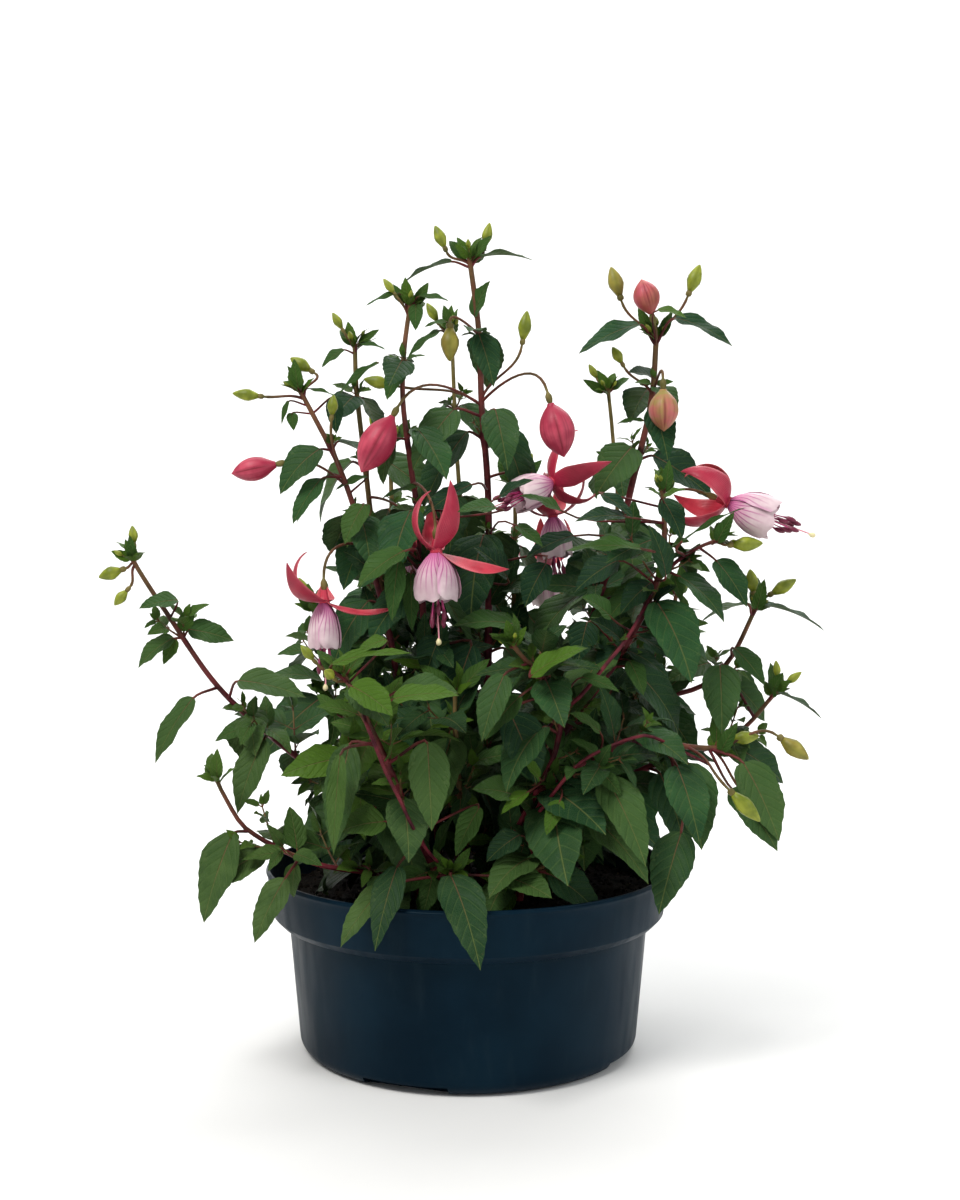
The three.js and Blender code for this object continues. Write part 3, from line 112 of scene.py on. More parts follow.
# %% [markdown]
# ## Camera
# The photograph is taken from a little above the rim of the pot, about 1.2 m away, with the lens
# tilted 4 degrees down. The camera comes first, so that every later step can be looked at.

# %% Camera
camera_data = bpy.data.cameras.new("camera")
camera_data.lens = 52.9
camera_data.sensor_width = 36
camera = shown("camera", camera_data)
camera.location = (0.008, -1.190, 0.387)
camera.rotation_euler = (radians(90 - 4), 0, 0)
bpy.context.scene.camera = camera
print("camera height:", camera.location.z)

# %% [markdown]
# ## Helpers for node trees
# Both the shapes and the finishes below are node trees. `add` lays one node and feeds its sockets.
# `Field` wraps a socket, so that a sum in a tree can be written as a sum in the script. This keeps a
# tree of forty nodes readable, and the tree can still be opened and changed by hand in Blender.


# %% Node helpers
def feed(tree, socket, value):
    if isinstance(value, Field):
        value = value.socket
    if isinstance(value, bpy.types.NodeSocket):
        tree.links.new(value, socket)
    else:
        socket.default_value = value


def add(tree, kind, feeds=None, **settings):
    node = tree.nodes.new(kind)
    for name, value in settings.items():
        setattr(node, name, value)
    for key, value in (feeds or {}).items():
        feed(tree, node.inputs[key], value)
    return node


class Field:
    """A number or vector in a node tree. Arithmetic on it adds the nodes that work it out."""

    def __init__(self, tree, socket):
        self.tree = tree
        self.socket = socket

    def work(self, operation, *others):
        vector = self.socket.type in ("VECTOR", "RGBA")
        kind = "ShaderNodeVectorMath" if vector else "ShaderNodeMath"
        node = add(self.tree, kind, dict(enumerate((self, *others))), operation=operation)
        return Field(self.tree, node.outputs[0])

    def __add__(self, other):
        return self.work("ADD", other)

    def __sub__(self, other):
        return self.work("SUBTRACT", other)

    def __mul__(self, other):
        if self.socket.type != "VECTOR":
            return self.work("MULTIPLY", other)
        node = add(self.tree, "ShaderNodeVectorMath", {0: self, "Scale": other}, operation="SCALE")
        return Field(self.tree, node.outputs[0])

    def cross(self, other):
        return self.work("CROSS_PRODUCT", other)

    def split(self):
        node = add(self.tree, "ShaderNodeSeparateXYZ", {0: self})
        return [Field(self.tree, socket) for socket in node.outputs]

    def step(self, low, high, to_low=0.0, to_high=1.0):
        """Goes smoothly from to_low to to_high as this number goes from low to high."""
        node = add(self.tree, "ShaderNodeMapRange", interpolation_type="SMOOTHSTEP")
        for name, value in zip(("Value", "From Min", "From Max", "To Min", "To Max"),
                               (self, low, high, to_low, to_high)):
            feed(self.tree, node.inputs[name], value)
        return Field(self.tree, node.outputs["Result"])


print("node helpers are ready")


# %% Helpers for shape trees
def group_tree(family, name, inputs, outputs):
    """A node group. Inputs: label to (kind, value). It returns the tree and both ends as sockets."""
    tree = bpy.data.node_groups.new(name, family + "NodeTree")
    for label, (kind, value) in inputs.items():
        item = tree.interface.new_socket(label, in_out="INPUT", socket_type="NodeSocket" + kind)
        if value is not None:
            item.default_value = value
    for label, kind in outputs.items():
        tree.interface.new_socket(label, in_out="OUTPUT", socket_type="NodeSocket" + kind)
    return tree, tree.nodes.new("NodeGroupInput").outputs, tree.nodes.new("NodeGroupOutput").inputs


def shape_tree(name, **inputs):
    """A geometry tree. Besides its own inputs it takes points or lines, and a material."""
    inputs = {"Geometry": ("Geometry", None), **inputs, "Material": ("Material", None)}
    return group_tree("Geometry", name, inputs, {"Geometry": "Geometry"})[:2]


def named(tree, name, kind="FLOAT"):
    node = add(tree, "GeometryNodeInputNamedAttribute", {"Name": name}, data_type=kind)
    return Field(tree, next(socket for socket in node.outputs if socket.enabled))


# The marks that only the trees read.
SPARE = ("thick", "base", "ahead", "face", "measure", "phase", "spot", "aim", "size")


def grow(name, mesh, tree, **inputs):
    """Runs a shape tree on a mesh and keeps the result as a plain mesh object."""
    holder = shown(name + "_seed", mesh)
    modifier = holder.modifiers.new("grow", "NODES")
    modifier.node_group = tree
    sockets = {item.name: item.identifier for item in tree.interface.items_tree
               if item.in_out == "INPUT"}
    for label, value in inputs.items():
        modifier[sockets[label]] = value
    shaped = holder.evaluated_get(bpy.context.evaluated_depsgraph_get())
    result = bpy.data.meshes.new_from_object(shaped)
    result.name = name
    for label in SPARE:
        if label in result.attributes:
            result.attributes.remove(result.attributes[label])
    bpy.data.objects.remove(holder)
    return shown(name, result)


FACES = {}


def settle(piece, slot, *nodes):
    """Attaches a finished piece to its body, hides the nodes it stands for and counts its faces. The
    slot is not used.
    """
    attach(piece, "root")
    if nodes:
        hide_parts(*nodes)
    FACES[piece.name] = len(piece.data.polygons)
    return piece


print("shape helpers are ready")

# %% [markdown]
# ## Finishes
# Each finish is a procedural material. Two effects are shared, so they are node groups: `mottle`,
# a soft patchy mix of two colours with a height for bumps, and `veins`, the net of a leaf. A leaf or a
# petal carries its own UV map, so its veins follow the blade wherever it bends. Attributes on the
# meshes say how young a leaf is, or how red a stalk is.


# %% Finish helpers
def use(tree, group, **feeds):
    return add(tree, "ShaderNodeGroup", {k.replace("_", " "): v for k, v in feeds.items()},
               node_tree=group).outputs


def marked(tree, name):
    """Reads in a finish the number that `mark` wrote."""
    node = add(tree, "ShaderNodeAttribute", attribute_name=name, attribute_type="GEOMETRY")
    return Field(tree, node.outputs["Fac"])


def blend(tree, share, low, high):
    node = add(tree, "ShaderNodeMix", data_type="RGBA")
    feed(tree, node.inputs[0], share)
    feed(tree, node.inputs[6], low)
    feed(tree, node.inputs[7], high)
    return node.outputs[2]


def new_finish(name, roughness, **sockets):
    material = bpy.data.materials.new(name)
    material.use_nodes = True
    shader = material.node_tree.nodes["Principled BSDF"]
    shader.inputs["Roughness"].default_value = roughness
    for label, value in sockets.items():
        shader.inputs[label.replace("_", " ")].default_value = value
    return material, material.node_tree, shader.inputs


def coats(tree, colour, *layers):
    """Lays colours over each other like coats of paint, each by its own share."""
    for share, top in layers:
        colour = blend(tree, share, colour, rgb(*top) if isinstance(top, tuple) else top)
    return colour


def surface(tree, sockets, colour, height, strength, distance):
    """Gives a finish its colour and its bumps."""
    feed(tree, sockets["Base Color"], colour)
    bumps = add(tree, "ShaderNodeBump", {"Height": height, "Strength": strength, "Distance": distance})
    feed(tree, sockets["Normal"], bumps.outputs["Normal"])


def rgb(*values):
    return (*values, 1.0)


print("finish helpers are ready")

# %% Shared effect: mottle
MOTTLE, inward, outward = group_tree(
    "Shader", "mottle",
    {"Dark": ("Color", rgb(0.1, 0.1, 0.1)), "Light": ("Color", rgb(0.5, 0.5, 0.5)),
     "Scale": ("Float", 60.0), "Fine scale": ("Float", 900.0)},
    {"Color": "Color", "Height": "Float"},
)
place = add(MOTTLE, "ShaderNodeTexCoord").outputs["Object"]
patches = add(MOTTLE, "ShaderNodeTexNoise", {"Vector": place, "Scale": inward["Scale"], "Detail": 3.0})
grain = add(MOTTLE, "ShaderNodeTexNoise", {"Vector": place, "Scale": inward["Fine scale"]})
patch = Field(MOTTLE, patches.outputs["Fac"]).step(0.3, 0.7)
feed(MOTTLE, outward["Color"], blend(MOTTLE, patch, inward["Dark"], inward["Light"]))
feed(MOTTLE, outward["Height"], Field(MOTTLE, grain.outputs["Fac"]))
print("mottle nodes:", len(MOTTLE.nodes))

# %% Shared effect: veins
# U runs across the blade and V along it, both in shares of the blade's length.
VEINS, inward, outward = group_tree(
    "Shader", "veins",
    {"UV": ("Vector", None), "Count": ("Float", 7.0), "Slope": ("Float", 0.75),
     "Width": ("Float", 0.08)},
    {"Rib": "Float", "Side veins": "Float", "Net": "Float", "Swell": "Float"},
)
across, along, _ = Field(VEINS, inward["UV"]).split()
away = (across - 0.5).work("ABSOLUTE")
rise = along - away * Field(VEINS, inward["Slope"]) - away * away * 1.5
wave = (rise * Field(VEINS, inward["Count"])).work("PINGPONG", 0.5)
net = add(VEINS, "ShaderNodeTexVoronoi", {"Vector": inward["UV"], "Scale": 38.0},
          feature="DISTANCE_TO_EDGE")
feed(VEINS, outward["Rib"], away.step(0.003, 0.012, 1.0, 0.0))
feed(VEINS, outward["Side veins"], wave.step(0.01, Field(VEINS, inward["Width"]), 1.0, 0.0))
feed(VEINS, outward["Net"], Field(VEINS, net.outputs["Distance"]).step(0.0, 0.12, 1.0, 0.0))
feed(VEINS, outward["Swell"], wave.step(0.0, 0.3))
print("vein nodes:", len(VEINS.nodes))

# %% [markdown]
# ### Leaf finish
# Fuchsia leaves are dark and slightly blue on the older, higher growth, a warmer green low at the
# front, and bright yellow-green where they are young. That warmer, lighter green low, in front and at
# the left is partly their own colour and partly painted light, and the near-black green on the inner
# leaves is painted shade. The midrib is pale, pinkish near the stalk, the side veins are a little
# lighter than the blade, and the underside is paler. A few old leaves turn brown near the tip. Marks on
# each leaf carry all of this: its youth, its warmth with painted light, its tone with painted shade,
# its underside and how dry it is.

# %% Leaf finish
LEAF_FINISH, tree, sockets = new_finish("leaf", 0.5, Specular_IOR_Level=0.14)
uv = add(tree, "ShaderNodeUVMap", uv_map="blade").outputs[0]
rib, side_veins, fine_net, swell = use(tree, VEINS, UV=uv)
old = use(tree, MOTTLE, Dark=rgb(0.006, 0.04, 0.014), Light=rgb(0.015, 0.072, 0.022), Scale=45.0)
warm = use(tree, MOTTLE, Dark=rgb(0.03, 0.068, 0.016), Light=rgb(0.068, 0.122, 0.032), Scale=50.0)
along = Field(tree, uv).split()[1]
# Warm green for low leaves in front and at the left: partly their own colour, partly painted light.
green = coats(tree, old["Color"], (marked(tree, "warmth_and_painted_light"), warm["Color"]),
              # High tone: near-black green, painted shade on inner leaves, random elsewhere. Low tone:
              # lighter green.
              (marked(tree, "tone").step(0.35, 1.0) * 0.8, (0.004, 0.027, 0.012)),
              (marked(tree, "tone").step(0.0, 0.4, 0.5, 0.0), (0.062, 0.115, 0.024)),
              (marked(tree, "youth"), (0.072, 0.155, 0.007)))
pale = blend(tree, 0.4, green, rgb(0.1, 0.15, 0.05))
vein_share = Field(tree, side_veins) * 0.24 + Field(tree, fine_net) * 0.1
rib_colour = blend(tree, along.step(0.0, 0.75, 1.0, 0.0), rgb(0.12, 0.16, 0.045), rgb(0.19, 0.08, 0.05))
place = add(tree, "ShaderNodeTexCoord").outputs["Object"]
blotch = add(tree, "ShaderNodeTexNoise", {"Vector": place, "Scale": 160.0})
dead = marked(tree, "dry") * along + Field(tree, blotch.outputs["Fac"]) * 0.6
green = coats(tree, green, (marked(tree, "under"), pale), (vein_share, (0.1, 0.16, 0.04)),
              (Field(tree, rib) * 0.65, rib_colour), (dead.step(0.92, 1.05), (0.13, 0.06, 0.025)))
height = Field(tree, swell) * 0.5 - Field(tree, rib) * 0.6 - Field(tree, fine_net) * 0.2
surface(tree, sockets, green, height, 0.8, 0.0011)
feed(tree, sockets["Roughness"], Field(tree, swell).step(0.0, 1.0, 0.62, 0.5))
print("leaf finish nodes:", len(tree.nodes))

# %% Stem and stalk finish
# Young wood goes from wine red through tan to green. `redness` says how far, from 0 to 1.
STEM_FINISH, tree, sockets = new_finish("stem_bark", 0.5, Specular_IOR_Level=0.14)
tan = use(tree, MOTTLE, Dark=rgb(0.1, 0.095, 0.026), Light=rgb(0.21, 0.17, 0.055), Scale=120.0)
red = use(tree, MOTTLE, Dark=rgb(0.034, 0.004, 0.009), Light=rgb(0.14, 0.018, 0.026), Scale=90.0)
bark = blend(tree, marked(tree, "redness"), tan["Color"], red["Color"])
surface(tree, sockets, bark, red["Height"], 0.35, 0.0005)
print("stem finish nodes:", len(tree.nodes))

# %% Bud finishes
# `seam` is 1 along the four lines where the sepals of a closed bud meet. `flush` turns a green bud
# pink and a pink bud brown, `rise` goes from its stalk to its tip, and `streak` follows its fine veins.
GREEN_BUD_FINISH, tree, sockets = new_finish("green_bud", 0.42, Specular_IOR_Level=0.25)
skin = use(tree, MOTTLE, Dark=rgb(0.135, 0.175, 0.012), Light=rgb(0.32, 0.36, 0.036), Scale=140.0)
colour = coats(tree, skin["Color"], (marked(tree, "flush"), (0.42, 0.14, 0.09)),
               (marked(tree, "seam") * 0.55, (0.1, 0.12, 0.015)))
surface(tree, sockets, colour, skin["Height"], 0.25, 0.0004)
PINK_BUD_FINISH, tree, sockets = new_finish("pink_bud", 0.45, Specular_IOR_Level=0.3)
skin = use(tree, MOTTLE, Dark=rgb(0.34, 0.022, 0.055), Light=rgb(0.54, 0.07, 0.115), Scale=90.0)
green = use(tree, MOTTLE, Dark=rgb(0.28, 0.26, 0.06), Light=rgb(0.5, 0.15, 0.13), Scale=100.0)
colour = coats(tree, skin["Color"],
               (marked(tree, "rise").step(0.05, 0.62, 0.8, 0.0), (0.3, 0.012, 0.04)),
               (marked(tree, "flush"), green["Color"]),
               (marked(tree, "streak") * 0.55, (0.15, 0.008, 0.024)),
               (marked(tree, "seam") * 0.8, (0.15, 0.008, 0.018)))
surface(tree, sockets, colour, skin["Height"], 0.3, 0.0005)
print("bud finishes:", GREEN_BUD_FINISH.name, PINK_BUD_FINISH.name)

# %% Sepal finish
# Coral pink, deeper crimson towards the tube and on the face that shows when a sepal curls back.
SEPAL_FINISH, tree, sockets = new_finish("sepal", 0.38, Specular_IOR_Level=0.4)
uv = add(tree, "ShaderNodeUVMap", uv_map="blade").outputs[0]
skin = use(tree, MOTTLE, Dark=rgb(0.42, 0.014, 0.036), Light=rgb(0.68, 0.052, 0.085), Scale=70.0)
across, along, _ = Field(tree, uv).split()
deep = along.step(0.0, 0.5, 1.0, 0.0)
edge = (across - 0.5).work("ABSOLUTE").step(0.1, 0.14)
lines = ((across - 0.5) * 48.0).work("PINGPONG", 0.5)
colour = coats(tree, skin["Color"], (marked(tree, "under") * 0.6, (0.3, 0.012, 0.045)),
               (deep * 0.5, (0.42, 0.02, 0.06)), (lines.step(0.0, 0.16, 0.4, 0.0), (0.24, 0.01, 0.03)),
               (edge * 0.4, (0.68, 0.15, 0.17)))
surface(tree, sockets, colour, lines, 0.6, 0.0006)
print("sepal finish nodes:", len(tree.nodes))

# %% Petal finish
# Nearly white with a lilac cast. Magenta veins fan out of the base and fade before the rim.
PETAL_FINISH, tree, sockets = new_finish("petal", 0.5, Specular_IOR_Level=0.3)
uv = add(tree, "ShaderNodeUVMap", uv_map="blade").outputs[0]
across, along, _ = Field(tree, uv).split()
fan = ((across - 0.5) * along.step(-0.4, 1.0, 13.0, 7.0)).work("PINGPONG", 0.5)
ray = fan.step(0.02, 0.22, 1.0, 0.0) * along.step(0.3, 0.95, 1.0, 0.0)
edge = (across - 0.5).work("ABSOLUTE").step(0.34, 0.42)
skin = use(tree, MOTTLE, Dark=rgb(0.52, 0.35, 0.4), Light=rgb(0.72, 0.57, 0.59), Scale=70.0)
colour = coats(tree, skin["Color"], (along.step(0.0, 0.6, 0.9, 0.0), (0.55, 0.09, 0.29)),
               (edge * 0.45, (0.6, 0.2, 0.42)), (ray * 0.85, (0.36, 0.03, 0.2)))
surface(tree, sockets, colour, ray, 0.3, 0.0005)
print("petal finish nodes:", len(tree.nodes))

# %% Stamen finish
# Magenta filaments with dark anthers, and a pinker style with a cream stigma.
STAMEN_FINISH, tree, sockets = new_finish("stamen", 0.4)
skin = use(tree, MOTTLE, Dark=rgb(0.4, 0.02, 0.15), Light=rgb(0.6, 0.06, 0.22), Scale=200.0)
colour = coats(tree, skin["Color"], (marked(tree, "anther"), (0.14, 0.006, 0.035)),
               (marked(tree, "style"), (0.72, 0.27, 0.33)),
               (marked(tree, "stigma"), (0.78, 0.68, 0.38)))
surface(tree, sockets, colour, skin["Height"], 0.3, 0.0004)
print("stamen finish nodes:", len(tree.nodes))

# %% Pot and soil finishes
# The pot is injection moulded, nearly black with a blue cast, half matt, with faint dust and rubs.
POT_FINISH, tree, sockets = new_finish("pot_plastic", 0.42, Specular_IOR_Level=0.08,
                                       Specular_Tint=rgb(0.6, 0.9, 1.0))
skin = use(tree, MOTTLE, Dark=rgb(0.0008, 0.0068, 0.015), Light=rgb(0.002, 0.0115, 0.0225), Scale=16.0,
           Fine_scale=1400.0)
place = add(tree, "ShaderNodeTexCoord").outputs["Object"]
streaks = add(tree, "ShaderNodeMapping", {"Vector": place, "Scale": (30.0, 30.0, 6.0)}).outputs[0]
dust = add(tree, "ShaderNodeTexNoise", {"Vector": streaks, "Scale": 3.0, "Detail": 6.0}).outputs["Fac"]
colour = coats(tree, skin["Color"], (Field(tree, dust).step(0.52, 0.8) * 0.3, (0.014, 0.026, 0.034)))
surface(tree, sockets, colour, skin["Height"], 0.12, 0.0003)
feed(tree, sockets["Roughness"], Field(tree, dust).step(0.3, 0.8, 0.36, 0.56))
SOIL_FINISH, tree, sockets = new_finish("soil", 0.95, Specular_IOR_Level=0.06)
skin = use(tree, MOTTLE, Dark=rgb(0.0022, 0.002, 0.002), Light=rgb(0.015, 0.011, 0.008), Scale=190.0)
colour = coats(tree, skin["Color"], (marked(tree, "fleck"), (0.12, 0.09, 0.06)))
surface(tree, sockets, colour, skin["Height"], 0.8, 0.002)
print("finishes made:", len(bpy.data.materials))

# %% [markdown]
# ## How the plant grows
# The stems follow smooth curves through listed points, and the leaves sit on them in opposite
# pairs that cross at each joint. These are the same rules and the same seeded draws that the packed
# solids were grown with, so each blade can be found again by where its tip and edges are. The finer
# blade is then laid exactly there.

# %% Growth rules
GROWTH = dict(petiole=0.2, half_share=0.3, spacing=1.15, youngest=0.36, gain=0.34, inset=2, tip_lift=55,
              top_rise=30, follow=0.5, lean=0.62, side_turn=0.5, stem_step=48, tries=60, drop=6)
STRAY = dict(azimuth=18, length=(0.88, 1.1), lift=14, roll=20, curl=(0.35, 0.95))
# The leaves face up and a little to the front.
LIGHT = Vector((0, -0.6, 1))
# A leaf that would touch a neighbour was turned and shrunk, by the first of these that left it clear.
DODGES = [
    (0, 0, 1), (0, 12, 1), (0, -14, 1), (18, 0, 1), (-18, 0, 1), (18, 12, 1), (-18, 12, 1),
    (32, -10, 1), (-32, -10, 1), (0, 0, 0.8), (20, 8, 0.8), (-20, 8, 0.8), (40, 0, 0.8), (-40, 0, 0.8),
    (0, 26, 0.7), (0, -28, 0.7), (30, -20, 0.65), (-30, -20, 0.65),
]
MODULUS = 2**31 - 1
draw_state = 20261


def draw(low, high):
    """The next number of a fixed random sequence."""
    global draw_state
    draw_state = draw_state * 16807 % MODULUS
    return low + (high - low) * draw_state / MODULUS


def hermite(a, leaving, b, arriving, f):
    """The point at share f of a smooth line from a to b, with the slopes at its two ends."""
    return (a * (2 * f**3 - 3 * f**2 + 1) + leaving * (f**3 - 2 * f**2 + f)
            + b * (3 * f**2 - 2 * f**3) + arriving * (f**3 - f**2))


def square_to(direction, value):
    return (value - direction * value.dot(direction)).normalized()


def turned(value, axis, angle):
    return Quaternion(axis, angle) @ value


class GrowthCurve:
    """A smooth curve through points, measured along the chords between them."""

    def __init__(self, path, upright):
        self.points = [Vector(point) for point in path]
        self.reach = [0.0]
        for before, after in zip(self.points, self.points[1:]):
            self.reach.append(self.reach[-1] + (after - before).length)
        last = len(self.points) - 1
        self.slopes = []
        for i in range(last + 1):
            low, high = max(i - 1, 0), min(i + 1, last)
            step = self.points[high] - self.points[low]
            self.slopes.append(step / (self.reach[high] - self.reach[low]))
        if upright:
            self.slopes[0] = UP.copy()
        self.length = self.reach[-1]
        self.steps = max(3, floor(self.length / GROWTH["stem_step"] + 0.5))
        self.side = UP.cross(self.points[-1] - self.points[0]).normalized()

    def locate(self, share):
        along = share * self.length
        i = 0
        while i < len(self.reach) - 2 and self.reach[i + 1] < along:
            i += 1
        span = self.reach[i + 1] - self.reach[i]
        return i, span, (along - self.reach[i]) / span

    def point(self, share):
        i, span, f = self.locate(share)
        (a, b), (u, v) = self.points[i:i + 2], self.slopes[i:i + 2]
        return hermite(a, u * span, b, v * span, f)

    def tangent(self, share):
        i, span, f = self.locate(share)
        (a, b), (u, v) = self.points[i:i + 2], self.slopes[i:i + 2]
        return ((b - a) * ((6 * f - 6 * f**2) / span) + u * (3 * f**2 - 4 * f + 1)
                + v * (3 * f**2 - 2 * f)).normalized()

    def axis(self, share):
        """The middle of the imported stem, whose body runs in straight steps."""
        place = max(0.0, share) * self.steps
        low = min(self.steps - 1, int(place))
        return self.point(low / self.steps).lerp(self.point((low + 1) / self.steps), place - low)


print("growth rules are ready")


# %% Where a leaf sits
def joint_leaf(curve, share, azimuth, length, lift, roll, curl):
    tangent = curve.tangent(share)
    across = square_to(tangent, curve.side)
    over = tangent.cross(across)
    turn = radians(azimuth)
    out = across * cos(turn) + over * sin(turn)
    level = out + tangent * GROWTH["follow"]
    level.z = 0
    level.normalize()
    rise = radians(lift + GROWTH["top_rise"] * max(0.0, out.z))
    along = level * cos(rise) + UP * sin(rise)
    stalk = (out + tangent * GROWTH["lean"]).normalized()
    root = curve.axis(share)
    face = square_to(along, LIGHT + level * GROWTH["side_turn"])
    return dict(root=root, share=share, base=root + stalk * (GROWTH["petiole"] * length), along=along,
                face=turned(face, along, radians(roll)), length=length,
                half=GROWTH["half_share"] * length, curl=curl)


def placed_leaf(curve, spot):
    base = Vector(spot["base"])
    chord = Vector(spot["tip"]) - base
    tries = GROWTH["tries"]
    gaps = [(curve.axis(share) - base).length for share in evenly(tries)]
    share = max(0.0, gaps.index(min(gaps)) / tries - GROWTH["drop"] / curve.length)
    straight = chord.normalized()
    normal = square_to(straight, UP if spot.get("level") else LIGHT)
    bend = spot["curl"] / 2
    return dict(root=curve.axis(share), share=share, base=base, curl=spot["curl"],
                along=straight * cos(bend) + normal * sin(bend),
                face=normal * cos(bend) - straight * sin(bend),
                length=chord.length * bend / sin(bend), half=spot["half_width"])


def dodged(leaf, yaw, pitch, scale):
    level = Vector((leaf["along"].x, leaf["along"].y, 0)).normalized()
    turn = Quaternion(UP, radians(yaw)) @ Quaternion(level.cross(UP), radians(pitch))
    return dict(leaf, base=turn @ (leaf["base"] - leaf["root"]) + leaf["root"],
                along=turn @ leaf["along"], face=turn @ leaf["face"],
                length=leaf["length"] * scale, half=leaf["half"] * scale)


print("leaf rules are ready")

# %% How a packed leaf is found
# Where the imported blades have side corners: shares of their length, the small ones apart.
CORNERS = dict(at=0.6, small_at=0.38, small=34, near=0.1)


def blade_width(t):
    """How wide a blade is along its length, as a share of its widest."""
    return t**0.55 * (1 - t) / 0.365


def blade_point(leaf, t, side=0.0):
    """A point of a blade: t of the way along its bent midrib, and out to one side."""
    angle = leaf["curl"] * t
    reach = leaf["length"] / leaf["curl"]
    centre = (leaf["base"] + leaf["along"] * (reach * sin(angle))
              + leaf["face"] * (reach * (cos(angle) - 1)))
    if not side:
        return centre
    half = leaf["half"] * blade_width(t)
    normal = leaf["face"] * cos(angle) + leaf["along"] * sin(angle)
    return centre + leaf["along"].cross(leaf["face"]) * (side * half) + normal * (0.22 * half)


def joint_share(shoot, curve, joint):
    """Where a joint is on its stem. Joint 0 is the one at the tip."""
    down = joint / max(1, shoot["pairs"] - 1)
    return 1 - GROWTH["inset"] / curve.length - (1 - shoot["bare"]) * down ** GROWTH["spacing"]


def shoot_leaves(shoot, curve):
    plans = [placed_leaf(curve, spot) for spot in shoot["placed"]]
    for joint in range(shoot["pairs"]):
        share = joint_share(shoot, curve, joint)
        growth = min(1.0, GROWTH["youngest"] + GROWTH["gain"] * joint)
        for side in (0, 180):
            azimuth = shoot["turn"] + 90 * joint + side + draw(-STRAY["azimuth"], STRAY["azimuth"])
            length = shoot["leaf"] * growth * draw(*STRAY["length"])
            lift = GROWTH["tip_lift"] if joint == 0 else -shoot["droop"] * growth
            lift += draw(-STRAY["lift"], STRAY["lift"])
            roll, curl = draw(-STRAY["roll"], STRAY["roll"]), draw(*STRAY["curl"])
            plans.append(joint_leaf(curve, share, azimuth, length, lift, roll, curl))
    return plans


def packed_leaf(leaf, tree):
    """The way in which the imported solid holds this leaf, or None where it has been left out."""
    for dodge in DODGES:
        held = dodged(leaf, *dodge)
        at = CORNERS["small_at"] if held["length"] < CORNERS["small"] else CORNERS["at"]
        spots = [blade_point(held, 1), blade_point(held, at, 1), blade_point(held, at, -1)]
        if sum(tree.find(spot * MM)[2] < CORNERS["near"] * MM for spot in spots) >= 2:
            return held
    return None


print("ways to lay a leaf:", len(DODGES))

# %% [markdown]
# ### The stems
# One entry for each stem that stands in the soil: its thickness, its pairs of leaves, the points it
# grows through, the leaves that are placed one by one, and its flowers and buds. These are the routes
# of the imported solids. `row_of` makes a small helper for each kind of row, so that a row is only
# numbers and each number still gets its name.


# %% The stems
def row_of(kind, *names):
    return lambda *values, **more: dict(zip(names, values), kind=kind, **more)


